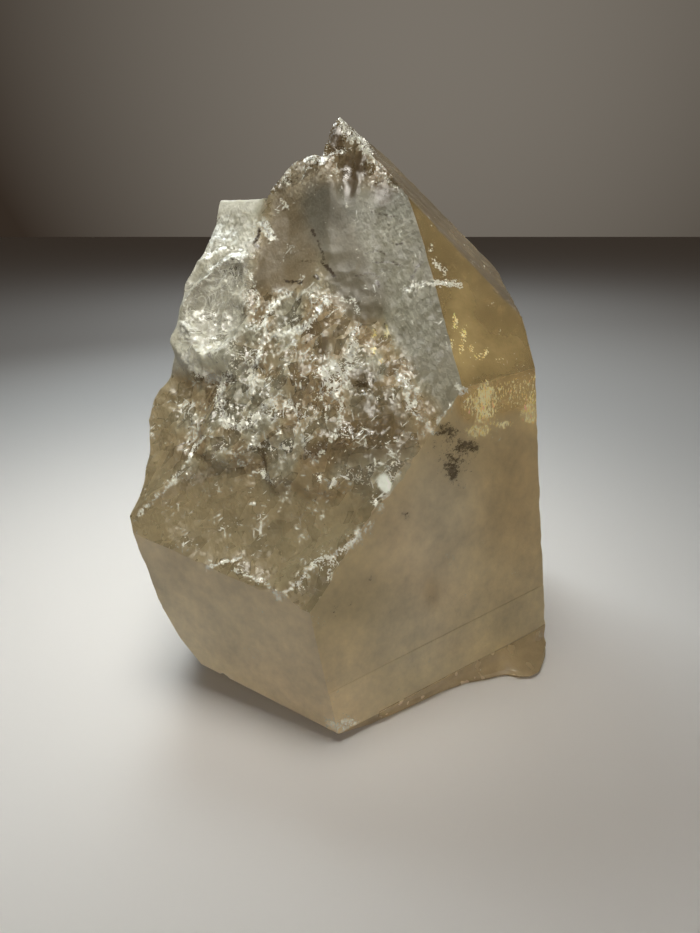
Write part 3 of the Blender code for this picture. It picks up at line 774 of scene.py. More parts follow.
def drift(s, t, size, seed):
    """A slow wander, so that lines drawn on the break don't run straight."""
    rng = np.random.default_rng(seed)
    result = np.zeros(np.shape(s))
    for _ in range(4):
        angle = rng.uniform(0.0, 2.0 * math.pi)
        phase = rng.uniform(0.0, 2.0 * math.pi)
        pitch = size * rng.uniform(0.7, 1.5)
        along = s * math.cos(angle) + t * math.sin(angle)
        result = result + np.sin(2.0 * math.pi * along / pitch + phase)
    return result / 2.0


def lattice(i, j, seed):
    """A random number from 0 to 1 for each whole-number place."""
    n = i.astype(np.int64) * 374761393 + j.astype(np.int64) * 668265263 + seed * 974634777
    n = (n ^ (n >> 13)) * 1274126177 & 0x7FFFFFFF
    n = (n ^ (n >> 16)) * 1103515245 & 0x7FFFFFFF
    return (n % 100003) / 100003.0


def cloud(x, y, size, seed):
    """Soft noise from 0 to 1 with features of the given size."""
    total = np.zeros(np.shape(x))
    weight = 0.0
    for octave in range(OCTAVES):
        scale = 2.0**octave / size
        gain = OCTAVE_GAIN**octave
        i = np.floor(x * scale)
        j = np.floor(y * scale)
        fx = smooth(0.0, 1.0, x * scale - i)
        fy = smooth(0.0, 1.0, y * scale - j)
        k = seed + 17 * octave
        low = lattice(i, j, k) * (1.0 - fx) + lattice(i + 1, j, k) * fx
        high = lattice(i, j + 1, k) * (1.0 - fx) + lattice(i + 1, j + 1, k) * fx
        total += gain * (low * (1.0 - fy) + high * fy)
        weight += gain
    return total / weight


def waves(s, t, size, height, seed):
    return height * (cloud(s, t, size, seed) - 0.5)


def flakes(x, y, size, tilt, seed):
    """Flake scars: the lower envelope of shallow bowls that each tilt their own way."""
    i = np.floor(x / size)
    j = np.floor(y / size)
    lowest = np.full(np.shape(x), FAR)
    for di in range(-2, 3):
        for dj in range(-2, 3):
            ci = i + di
            cj = j + dj
            dx = x / size - ci - lattice(ci, cj, seed)
            dy = y / size - cj - lattice(ci, cj, seed + 1)
            lean_x = tilt * (lattice(ci, cj, seed + 2) - 0.5)
            lean_y = tilt * (lattice(ci, cj, seed + 3) - 0.5)
            level = FLAKE_LEVEL * lattice(ci, cj, seed + 4)
            lowest = np.minimum(lowest, dx * dx + dy * dy + lean_x * dx + lean_y * dy + level)
    return lowest - FLAKE_SETBACK


# --- relief of the break, as in the solid ---


def beyond(s, t, place, bearing, blend):
    """0 short of a slanting line through a place, rising to 1 past it."""
    angle = math.radians(bearing)
    return smooth(0.0, blend, (s - place[0]) * math.cos(angle) + (t - place[1]) * math.sin(angle))


def rib_and_tip(s, t):
    """The rib that climbs to the tip, with shallow hollows beside it."""
    swell = np.clip(1.0 - np.abs(s - TIP_ACROSS) / TIP_SPREAD, 0.0, 1.0)
    h = TIP_SWELL * smooth(*TIP_RISE, t) * swell + crest(s, t, *RIB)
    for centre, radii, depth in RIB_HOLLOWS:
        h = h + hollow(s, t, centre, radii, depth)
    return h


def shell_ring(s, t):
    """0 at the middle of the pale piece's shell and 1 on its rim."""
    (centre_s, centre_t), (radius_s, radius_t) = SHELL
    return np.hypot((s - centre_s) / radius_s, (t - centre_t) / radius_t)


def pale_piece(s, t):
    """The pale piece at the top left, with a thumb-shaped shell and a lip along its foot."""
    aside = s - PALE_MIDDLE[0]
    foot = PALE_FOOT + PALE_FOOT_BEND * np.abs(aside) - PALE_FOOT_SLOPE * aside
    inside = smooth(*PALE_EDGE, s + PALE_LEAN * (t - PALE_MIDDLE[1]))
    inside = inside * smooth(foot + PALE_LIP_FROM, foot + PALE_LIP_TO, t)
    shell = hollow(s, t, *SHELL, SHELL_DEPTH)
    rim = SHELL_RIM * np.clip(1.0 - np.abs(shell_ring(s, t) - 1.0) / SHELL_RIM_WIDTH, 0.0, None)
    return inside * (PALE_STEP - PALE_SETBACK * smooth(*PALE_SETBACK_UP, t) + shell + rim)


def crushed_ledge(s, t):
    """The ragged step across the middle, with teeth hanging from it."""
    teeth = TOOTH_LENGTH * np.abs(drift(s, TOOTH_SLANT * t, TOOTH_PITCH, SEED + 8))
    foot = LEDGE_FOOT + teeth + LEDGE_SWAY * np.sin(LEDGE_SWAY_TURN * s)
    band = smooth(*LEDGE_RIGHT, s) * smooth(*LEDGE_LEFT, s)
    step = smooth(foot - LEDGE_BLEND, foot + LEDGE_BLEND, t)
    return LEDGE_HEIGHT * step * smooth(*LEDGE_TOP, t) * band


def calm(s, t):
    """1 on the two quiet parts: the pane right of the rib, and the flat beside the pale piece."""
    pane = beyond(s, t, *PANE_EDGE) * beyond(s, t, *PANE_FOOT)
    flat = smooth(*FLAT_LEFT, s) * smooth(*FLAT_RIGHT, s) * smooth(*FLAT_FOOT, t)
    return np.maximum(pane, flat) * smooth(*CALM_TOP, t)


def left_slope(s, t):
    """The lower left slopes away past its slanting crest."""
    past = SLOPE_WAY[0] * (s - SLOPE_START[0]) + SLOPE_WAY[1] * (t - SLOPE_START[1])
    return -SLOPE_FALL * smooth(*SLOPE_TOP, t) * np.clip(past, 0.0, SLOPE_REACH)


def behind_skyline(s, t):
    """Past the skyline the break turns over and falls away behind."""
    skyline = np.interp(s, SKYLINE_ACROSS, SKYLINE_UP)
    steep = SKYLINE_FALL * (1.0 + smooth(*SKYLINE_NOTCH, s))
    return -steep * np.clip(t - skyline, 0.0, None)


def relief(s, t):
    """Height of the break above its mean plane."""
    ws = s + WANDER * drift(s, t, WANDER_PITCHES[0], SEED + 5)
    wt = t + WANDER * drift(s, t, WANDER_PITCHES[1], SEED + 6)
    h = rib_and_tip(ws, wt) + pale_piece(ws, wt) + crushed_ledge(ws, wt)
    h += left_slope(ws, wt) + crest(ws, wt, *LEFT_CREST)
    h += hollow(s, t, *LOW_BOWL) + crest(s, t, *RIGHT_CREST) + crest(ws, t, *FOOT_CREST)
    # Scallops are deeper across the middle and almost gone on the quiet parts.
    rough = smooth(*ROUGH_FOOT, t) * smooth(*ROUGH_TOP, t) * smooth(*ROUGH_RIGHT, s)
    quiet = 1.0 - CALM_SHARE * calm(s, t)
    large = LARGE_SHARE + (1.0 - LARGE_SHARE) * rough
    small = SMALL_SHARE + (1.0 - SMALL_SHARE) * rough
    h += scallops(ws, SCALLOP_STRETCH * wt, *LARGE_SCALLOPS, SEED) * large * quiet
    h += scallops(s, t, *SMALL_SCALLOPS, SEED + 1) * small * quiet
    return h + behind_skyline(s, t)


def wall_relief(s, t):
    """The wall is wavy where it meets the break and evens out towards the back."""
    behind = WALL_EDGE + WALL_EDGE_SLOPE * t - s
    wave = (np.interp(t, WALL_UP, WALL_DEPTH) - WALL_MEAN) * smooth(*WALL_FADE, behind)
    low = smooth(*WALL_LOW, t) * WALL_LOW_RISE
    return WALL_MEAN + wave + low + scallops(s, t, *WALL_SCALLOPS, SEED + 2) - WALL_SKIN


def base_relief(s, t):
    """Shallow hollows in the underside; everywhere else it is left flat."""
    h = np.full(np.shape(s), BASE_CLEARANCE)
    for centre, radii, depth in BASE_HOLLOWS:
        h = np.minimum(h, BASE_LIP + hollow(s, -t, centre, radii, depth + BASE_LIP))
    return h + np.where(h < 0.0, scallops(s, t, *BASE_SCALLOPS, SEED + 3), 0.0)


# --- finer relief ---


def crushed(s, t):
    """How crushed the break is at a place: 1 across the middle, 0 where it parted cleanly."""
    across = smooth(*CRUSHED_RIGHT, s) * smooth(*CRUSHED_LEFT, s)
    up = smooth(*CRUSHED_FOOT, t) * smooth(*CRUSHED_TOP, t)
    tip = smooth(*CRUSHED_TIP, t) * CRUSHED_TIP_SHARE
    return np.clip(across * up + tip, 0.0, 1.0)


def break_relief(s, t):
    """The solid's relief with flake scars, splinters and hackle marks on it."""
    rough = crushed(s, t) * (1.0 - FLAKE_CALM * calm(s, t))
    wander = FLAKE_WANDER * drift(s, t, FLAKE_WANDER_PITCH, SEED + 21)
    h = relief(s, t)
    clean, added = SMALL_FLAKE_HEIGHTS
    h += (clean + added * rough) * flakes(s + wander, SMALL_STRETCH * t, *SMALL_FLAKES, SEED + 31)
    clean, added = TINY_FLAKE_HEIGHTS
    h += (clean + added * rough) * flakes(s - wander, TINY_STRETCH * t + wander, *TINY_FLAKES, SEED + 37)
    h += waves(s, t, *BREAK_GRAIN, SEED + 41)
    # A pane parted cleanly, where the bright oval is painted as a highlight.
    pane = smooth(*OVAL_RIM, np.hypot(s - OVAL_PLACE[0], t - OVAL_PLACE[1]))
    level = relief(np.array([OVAL_PLACE[0]]), np.array([OVAL_PLACE[1]]))[0]
    return h + pane * (level - h)


def fine_wall_relief(s, t):
    rough = WALL_FLAKE_HEIGHT * flakes(s, t, *WALL_FLAKES, SEED + 51)
    return wall_relief(s, t) + rough + waves(s, t, *WALL_GRAIN, SEED + 52)


def growth_lines(t, pitch, depth, seed):
    """Steps that run level across a grown face, in bands of uneven width."""
    wander = t / pitch + STEP_WANDER * cloud(t, 0.0 * t, STEP_WANDER_PITCH, seed)
    saw = wander - np.floor(wander)
    keep = lattice(np.floor(wander), 0.0 * wander, seed + 5)
    return -depth * keep * smooth(*STEP_RISE, saw) * (1.0 - smooth(*STEP_FALL, saw))


def front_face_relief(s, t):
    """A nearly flat grown face: faint waves and level striations."""
    steps = growth_lines(t + FRONT_STEP_SLANT * s, *FRONT_STEPS, SEED + 62)
    return waves(s, t, *FRONT_WAVES, SEED + 61) + steps - FRONT_SKIN


def stepped_face_relief(s, t):
    """The right front face above its growth line, a thin step lower."""
    return front_face_relief(s, t) - GROWTH_STEP + GROWTH_OVERLAP


def tip_face_relief(s, t):
    return waves(s, t, *TIP_WAVES, SEED + 71) - TIP_SKIN


def bevel_relief(s, t):
    """Narrow growth steps that run up the strip beside the front tip face."""
    return growth_lines(s + BEVEL_STEP_SLANT * t, *BEVEL_STEPS, SEED + 75) - BEVEL_SKIN


def back_face_relief(s, t):
    """Strong level growth steps, as a prism face has, with slow waves."""
    bent = t + BACK_BEND * drift(s, t, BACK_BEND_PITCH, SEED + 81)
    steps = growth_lines(bent, *BACK_STEPS, SEED + 82)
    return steps + waves(s, t, *BACK_WAVES, SEED + 83) - BACK_SKIN


# Relief laid on the flat faces, in the order they are cut: the kind of face, field and relief.
PRISM_FACES = ("left", "right", "back_left", "back_right")
TIP_FACES = ("tip_right", "tip_back_right", "tip_back", "tip_left")
FACE_RELIEFS = {
    **dict.fromkeys(PRISM_FACES, ("back", PRISM_FIELD, back_face_relief)),
    **dict.fromkeys(TIP_FACES, ("back", TIP_FIELD, tip_face_relief)),
    "tip_bevel": ("tip_bevel", BEVEL_FIELD, bevel_relief),
    "tip_front": ("tip_front", TIP_FRONT_FIELD, tip_face_relief),
    "right_front": ("right_front", FRONT_FIELD, front_face_relief),
    "left_front": ("left_front", FRONT_FIELD, front_face_relief),
}


# --- mesh tools ---


def normal_of(bearing, rise):
    b = math.radians(bearing)
    r = math.radians(rise)
    return Vector((math.cos(b) * math.cos(r), math.sin(b) * math.cos(r), math.sin(r)))


def frame_on(bearing, rise):
    """A face's level direction, its direction up the slope and its outward one."""
    out = normal_of(bearing, rise)
    side = Vector((-math.sin(math.radians(bearing)), math.cos(math.radians(bearing)), 0.0))
    slope = out.cross(side)
    return side, slope, out


def placed(name, data):
    """A new object in the scene for a mesh, a camera or a light."""
    obj = bpy.data.objects.new(name, data)
    bpy.context.scene.collection.objects.link(obj)
    return obj


def mesh_object(name, bm, kind):
    """An object of one kind of face; the bmesh is used up."""
    mesh = bpy.data.meshes.new(name)
    bm.to_mesh(mesh)
    bm.free()
    mesh.materials.append(kind)
    return placed(name, mesh)


def closed_object(name, verts, faces, kind):
    """An object from points and faces, with its faces turned outwards."""
    mesh = bpy.data.meshes.new(name)
    mesh.from_pydata(np.asarray(verts, float).tolist(), [], faces)
    bm = bmesh.new()
    bm.from_mesh(mesh)
    bpy.data.meshes.remove(mesh)
    bmesh.ops.recalc_face_normals(bm, faces=bm.faces)
    if bm.calc_volume(signed=True) < 0:
        bmesh.ops.reverse_faces(bm, faces=bm.faces)
    return mesh_object(name, bm, kind)


def combine(target, other, operation="DIFFERENCE"):
    """A Boolean between two closed meshes, applied to the first; the second is removed."""
    modifier = target.modifiers.new(operation.lower(), "BOOLEAN")
    modifier.operation = operation
    modifier.solver = "EXACT"
    modifier.material_mode = "TRANSFER"
    modifier.object = other
    bpy.context.view_layer.update()
    graph = bpy.context.evaluated_depsgraph_get()
    mesh = bpy.data.meshes.new_from_object(target.evaluated_get(graph))
    target.modifiers.clear()
    target.data = mesh
    bpy.data.objects.remove(other, do_unlink=True)


def grid_cutter(name, origin, axes, field, height, kind):
    """A closed slab over a field: its inner side is a relief, its outer side stands off by the reach."""
    across, up, step, reach = field
    s_count = int((across[1] - across[0]) / step) + 1
    t_count = int((up[1] - up[0]) / step) + 1
    s, t = np.meshgrid(np.linspace(*across, s_count), np.linspace(*up, t_count))
    side, slope, out = (np.array(axis) for axis in axes)
    flat = np.array(origin) + s[..., None] * side + t[..., None] * slope
    inner = flat + height(s, t)[..., None] * out
    outer = flat + reach * out
    # Two triangles to a square, with the diagonals turned from one square to the next.
    index = np.arange(s_count * t_count).reshape(t_count, s_count)
    a, b = index[:-1, :-1], index[:-1, 1:]
    c, d = index[1:, 1:], index[1:, :-1]
    rows, cols = np.indices(a.shape)
    odd = (rows + cols) % 2 == 1
    first = np.where(odd[..., None], np.stack([a, b, c], -1), np.stack([a, b, d], -1))
    second = np.where(odd[..., None], np.stack([a, c, d], -1), np.stack([b, c, d], -1))
    faces = np.concatenate([first.reshape(-1, 3), second.reshape(-1, 3)]).tolist()
    # Walls from the relief's rim to a flat lid.
    rim = [*index[0], *index[1:, -1], *index[-1, -2::-1], *index[-2:0:-1, 0]]
    rim = [int(i) for i in rim]
    lid = {old: s_count * t_count + new for new, old in enumerate(rim)}
    verts = np.concatenate([inner.reshape(-1, 3), outer.reshape(-1, 3)[rim]])
    faces.append([lid[i] for i in rim])
    for p, q in zip(rim, rim[1:] + rim[:1]):
        faces.append([p, q, lid[q], lid[p]])
    return closed_object(name, verts, faces, kind)


# --- building the crystal ---


def cut_block(kind):
    """A big cube sliced by every flat face in turn."""
    bm = bmesh.new()
    bmesh.ops.create_cube(bm, size=2 * BLOCK_HALF)
    for bearing, rise, place in FACES.values():
        geom = bm.verts[:] + bm.edges[:] + bm.faces[:]
        plane = {"plane_co": Vector(place), "plane_no": normal_of(bearing, rise)}
        bmesh.ops.bisect_plane(bm, geom=geom, dist=ON_SLICE, clear_outer=True, **plane)
        rim = [edge for edge in bm.edges if edge.is_boundary]
        bmesh.ops.contextual_create(bm, geom=rim)
    bmesh.ops.recalc_face_normals(bm, faces=bm.faces)
    return mesh_object("quartz_point", bm, kind)


def toe(kind):
    """A low concave flare along the foot of the right front face, widest near its right end."""
    bearing, rise, _ = FACES["right_front"]
    side, _, out = frame_on(bearing, rise)
    flat_out = Vector((out.x, out.y, 0.0)).normalized()
    levels = np.linspace(TOE_FLARE[0][0], 0.0, TOE_LEVELS)
    shares = np.interp(-levels, [-level for level, _ in TOE_FLARE], [share for _, share in TOE_FLARE])
    rings = []
    for along in np.linspace(TOE_ALONG[0], TOE_ALONG[-1], TOE_SECTIONS):
        spread = float(np.interp(along, TOE_ALONG, TOE_SPREAD))
        ridge = CORNER[2] + FOOT_RISE * along
        profile = [(-TOE_ROOT, 0.0), (-TOE_ROOT, ridge + TOE_TOP), (-TOE_LIP[0], ridge + TOE_LIP[1])]
        for level, share in zip(levels, shares):
            z = level * ridge
            profile.append((-FOOT_SLANT * (ridge - z) + share * spread, z))
        foot = side * float(along)
        rings.append([(foot.x + flat_out.x * r, foot.y + flat_out.y * r, z) for r, z in profile])
    verts = [v for ring in rings for v in ring]
    width = len(rings[0])
    last = (len(rings) - 1) * width
    faces = [list(range(width)), [last + j for j in range(width)][::-1]]
    for i in range(len(rings) - 1):
        for j in range(width):
            a = i * width + j
            b = i * width + (j + 1) % width
            faces.append((a, b, b + width, a + width))
    return closed_object("toe", verts, faces, kind)


def chip(place, radius, seed, kind):
    """A dented ball to knock a small chip out of an edge."""
    rng = np.random.default_rng(seed)
    bm = bmesh.new()
    bmesh.ops.create_icosphere(bm, subdivisions=2, radius=radius)
    for v in bm.verts:
        v.co = v.co * (1.0 + CHIP_DENTS * (rng.random() - 0.5)) + Vector(place)
    return mesh_object("chip", bm, kind)


def face_cutter(name, kinds):
    """A relief laid on one of the flat faces."""
    bearing, rise, place = FACES[name]
    kind, field, height = FACE_RELIEFS[name]
    return grid_cutter(name, place, frame_on(bearing, rise), field, height, kinds[kind])


def growth_slab(kind):
    """Takes a thin skin off the right front face above its growth line."""
    bearing, rise, _ = FACES["right_front"]
    out = normal_of(bearing, rise)
    start = Vector(GROWTH_LINE[0])
    side = Vector(GROWTH_LINE[1]) - start
    side = (side - out * side.dot(out)).normalized()
    axes = (side, out.cross(side), out)
    return grid_cutter("growth_slab", start, axes, GROWTH_FIELD, stepped_face_relief, kind)


def break_cutter(kind):
    axes = frame_on(BREAK_BEARING, BREAK_RISE)
    return grid_cutter("break", BREAK_CENTRE, axes, BREAK_FIELD, break_relief, kind)


def wall_cutter(kind):
    bearing, rise, place = FACES["left_wall"]
    return grid_cutter("wall", place, frame_on(bearing, rise), WALL_FIELD, fine_wall_relief, kind)


def base_cutter(kind):
    axes = (Vector((1.0, 0.0, 0.0)), Vector((0.0, -1.0, 0.0)), Vector((0.0, 0.0, -1.0)))
    return grid_cutter("base", (0.0, 0.0, 0.0), axes, BASE_FIELD, base_relief, kind)


def build_crystal():
    """The whole crystal, with each face's kind kept as its material index."""
    kinds = {name: bpy.data.materials.new(KIND_MARK + name) for name in GROUND}
    crystal = cut_block(kinds["plain"])
    for name in FACE_RELIEFS:
        combine(crystal, face_cutter(name, kinds))
    combine(crystal, growth_slab(kinds["right_front"]))
    combine(crystal, toe(kinds["toe"]), "UNION")
    combine(crystal, wall_cutter(kinds["wall"]))
    combine(crystal, base_cutter(kinds["base"]))
    combine(crystal, break_cutter(kinds["break"]))
    for number, (place, radius) in enumerate(CHIPS):
        combine(crystal, chip(place, radius, SEED + number, kinds["chip"]))
    return crystal


def finish_mesh(obj):
    """Welds, triangulates and moves the mesh to the frame's origin, in metres."""
    bm = bmesh.new()
    bm.from_mesh(obj.data)
    bmesh.ops.remove_doubles(bm, verts=bm.verts, dist=WELD)
    bmesh.ops.triangulate(bm, faces=bm.faces)
    bmesh.ops.recalc_face_normals(bm, faces=bm.faces)
    bm.to_mesh(obj.data)
    bm.free()
    obj.data.transform(Matrix.Scale(MM, 4) @ Matrix.Translation(-Vector(ORIGIN)))
    obj.data.shade_smooth()
    obj.data.set_sharp_from_angle(angle=math.radians(SHARP_ANGLE))


# --- painting ---


def to_picture(points):
    """Where points on the crystal fall in the picture."""
    pitch = math.radians(CAMERA_PITCH)
    rel = points - np.array(CAMERA_PLACE)
    ahead = rel[:, 1] * math.cos(pitch) - rel[:, 2] * math.sin(pitch)
    drop = -rel[:, 1] * math.sin(pitch) - rel[:, 2] * math.cos(pitch)
    u = IMAGE_WIDTH / 2 + FOCAL_PIXELS * rel[:, 0] / ahead
    v = IMAGE_HEIGHT / 2 + FOCAL_PIXELS * drop / ahead
    return u, v


def on_break(points):
    """Places on the break's mean plane."""
    side, slope, _ = (np.array(axis) for axis in frame_on(BREAK_BEARING, BREAK_RISE))
    rel = points - np.array(BREAK_CENTRE)
    return rel @ side, rel @ slope


class Paint:
    """Colour, clearness, roughness and sparkle for the points of one kind of face."""

    def __init__(self, kind, points):
        colour, clear, rough, spark = GROUND[kind]
        count = len(points)
        self.points = points
        self.u, self.v = to_picture(points)
        self.wander_u = waves(self.u, self.v, *MARK_WANDER, SEED + 96)
        self.wander_v = waves(self.u, self.v, *MARK_WANDER, SEED + 97)
        self.colour = np.tile(np.array(colour), (count, 1))
        self.clear = np.full(count, clear)
        self.rough = np.full(count, rough)
        self.spark = np.full(count, spark)
        self.frost_and_glint = np.zeros(count)
        self.gold = np.zeros(count)
        self.dirt = np.zeros(count)
        self.crack = np.zeros(count)
        self.fan = np.zeros(count)

    def mix(self, amount, colour=None, clear=None, rough=None, spark=None):
        """Moves towards the given values; whatever isn't given stays as it is."""
        amount = np.clip(amount, 0.0, 1.0)
        if colour is not None:
            self.colour += amount[:, None] * (np.array(colour) - self.colour)
        for now, value in ((self.clear, clear), (self.rough, rough), (self.spark, spark)):
            if value is not None:
                now += amount * (value - now)

    def look(self, name, place):
        """Moves towards one of the LOOKS, by how much of it a place has."""
        strength, *values = LOOKS[name]
        self.mix(strength * place, *values)

    def patch(self, centre, radii, soft, angle=0.0):
        """1 inside an ellipse in the picture, 0 outside it."""
        a = math.radians(angle)
        du = self.u - centre[0]
        dv = self.v - centre[1]
        x = (du * math.cos(a) + dv * math.sin(a)) / radii[0]
        y = (dv * math.cos(a) - du * math.sin(a)) / radii[1]
        pitch = PATCH_PITCH_SHARE * min(radii) + PATCH_PITCH_LEAST
        ragged = waves(self.u, self.v, pitch, PATCH_RAGGED, SEED + 91)
        return smooth(1.0 + soft, 1.0 - soft, np.hypot(x, y) + ragged)

    def from_run(self, line):
        """Distance in the picture to a run of points, wandering a little."""
        return from_line(self.u + self.wander_u, self.v + self.wander_v, line)

    def stroke(self, half_width, line):
        """1 along the middle of a bruise, fading out past its half width."""
        ragged = waves(self.u, self.v, STROKE_RAGGED_PITCH, STROKE_RAGGED * half_width, SEED + 92)
        return smooth(STROKE_FADE * half_width, 0.0, self.from_run(line) + ragged)

    def crack_line(self, half_width, line):
        """1 along a crack, falling evenly to 0 on both sides."""
        return np.clip(1.0 - self.from_run(line) / (half_width + CRACK_HALO), 0.0, 1.0)


def paint_marks(paint):
    for half_width, strength, *line in BRUISE_AND_GLINT_STROKES:
        paint.frost_and_glint = np.maximum(paint.frost_and_glint, strength * paint.stroke(half_width, line))
    for centre, radii, strength in DIRT_PATCHES:
        paint.dirt = np.maximum(paint.dirt, strength * paint.patch(centre, radii, DIRT_SOFT))
    for half_width, strength, *line in DARK_STROKES:
        paint.crack = np.maximum(paint.crack, strength * paint.crack_line(half_width, line))
    for centre, radii, strength in GOLD_REFLECTION_PATCHES:
        paint.gold = np.maximum(paint.gold, strength * paint.patch(centre, radii, GOLD_SOFT))


def paint_break(paint):
    """The break: clear and grey high up, crushed across the middle, brown and smooth low down."""
    s, t = on_break(paint.points)
    rough = crushed(s, t)
    mottle = cloud(s, t, MOTTLE_SIZE, SEED + 94)
    paint.look("crushed grey", rough * smooth(*MOTTLE_GREY, mottle))
    paint.look("crushed brown", rough * smooth(*MOTTLE_BROWN, mottle))
    paint.look("crushed", rough)
    quiet = calm(s, t)
    pane = quiet * smooth(*PANE_SIDE, s)
    paint.look("pane", pane)
    paint.look("flat", quiet - pane)
    paint.look("tip", smooth(*CRUSHED_TIP, t))
    for name, centre, radii, soft in BREAK_PATCHES:
        paint.look(name, paint.patch(centre, radii, soft))
    paint.look("dark band", smooth(*DARK_BAND_EDGE, from_line(paint.u, paint.v, DARK_BAND)))
    paint_pale_piece(paint, s, t)
    # The bright oval: a painted highlight, near white and shut to light.
    paint.look("oval", paint.patch(*OVAL_HIGHLIGHT))


def paint_pale_piece(paint, s, t):
    """The pale piece: creamy and flecked, with a grey fan of fibres in its shell."""
    edge = s + PALE_LEAN * (t - PALE_MIDDLE[1])
    pale = smooth(*PALE_PAINT_EDGE, edge) * smooth(*PALE_PAINT_FOOT, t)
    paint.fan = pale * smooth(*FAN_EDGE, shell_ring(s, t))
    paint.look("pale", pale)
    paint.look("pale top", pale * smooth(*PALE_TOP, t))
    paint.look("pale fleck", pale * smooth(*PALE_FLECKS, cloud(s, t, MOTTLE_SIZE, SEED + 95)))
    paint.look("shell corner", pale * paint.patch(*SHELL_CORNER))
    paint.look("shell", paint.fan)
    paint.look("pale lip", pale * paint.patch(*PALE_LIP))


def paint_tip_front(paint):
    """A golden glow low on the left, where light comes back through the crystal."""
    for centre, radii, strength in TIP_GLOWS:
        paint.look("tip glow", strength * paint.patch(centre, radii, GLOW_SOFT))


def paint_left_front(paint):
    """A warm glow near the bottom corner."""
    paint.look("low glow", paint.patch(*LOW_GLOW))


def paint_right_front(paint):
    """Milky in the middle, browner to the right, with a golden fracture across its top, painted as the
    light it reflects.
    """
    for centre, radii, strength, colour in VEILS:
        paint.mix(strength * paint.patch(centre, radii, GLOW_SOFT), colour)
    top = from_line(paint.u, paint.v, GOLDEN_FRACTURE)
    paint.look("honey", smooth(*HONEY_EDGE, top))
    for centre, radii, strength in FRACTURE_GLOWS:
        glow = strength * paint.patch(centre, radii, FRACTURE_SOFT)
        paint.look("fracture glow", glow)
        paint.gold = np.maximum(paint.gold, GLOW_GOLD * glow)
    paint.gold = np.maximum(paint.gold, FRACTURE_GOLD * smooth(*FRACTURE_EDGE, top))


PAINTERS = {
    "break": paint_break,
    "right_front": paint_right_front,
    "tip_front": paint_tip_front,
    "left_front": paint_left_front,
}
MARKED = ("break", "right_front", "left_front", "tip_front", "tip_bevel")


def paint_kind(kind, points):
    paint = Paint(kind, points)
    if kind in PAINTERS:
        PAINTERS[kind](paint)
    if kind in MARKED:
        paint_marks(paint)
    return paint


def read_all(items, name, form=int, width=1):
    """One property of all the parts of a mesh, as an array."""
    values = np.empty(len(items) * width, form)
    items.foreach_get(name, values)
    return values


def paint_crystal(obj, kinds):
    """Stores the paint on the face corners, so that it changes sharply where two kinds meet."""
    mesh = obj.data
    places = read_all(mesh.vertices, "co", float, 3).reshape(-1, 3) / MM + np.array(ORIGIN)
    corners = read_all(mesh.loops, "vertex_index")
    face_kinds = read_all(mesh.polygons, "material_index")
    corner_kinds = np.repeat(face_kinds, read_all(mesh.polygons, "loop_total"))
    tint = np.ones((len(corners), 4))
    feel = np.zeros((len(corners), 3))
    flaws = np.zeros((len(corners), 3))
    fan = np.zeros(len(corners))
    for number, kind in enumerate(kinds):
        mine = np.flatnonzero(corner_kinds == number)
        if len(mine) == 0:
            continue
        used, back = np.unique(corners[mine], return_inverse=True)
        paint = paint_kind(kind, places[used])
        tint[mine] = np.concatenate([paint.colour, paint.frost_and_glint[:, None]], 1)[back]
        feel[mine] = np.stack([paint.clear, paint.rough, paint.spark], 1)[back]
        flaws[mine] = np.stack([paint.gold, paint.dirt, paint.crack], 1)[back]
        fan[mine] = paint.fan[back]
    for name, form, field, values in (
        ("tint", "FLOAT_COLOR", "color", tint),
        ("feel", "FLOAT_VECTOR", "vector", feel),
        ("flaws", "FLOAT_VECTOR", "vector", flaws),
        ("fan", "FLOAT", "value", fan),
    ):
        attribute = mesh.attributes.new(name, form, "CORNER")
        attribute.data.foreach_set(field, values.ravel())


# --- material ---


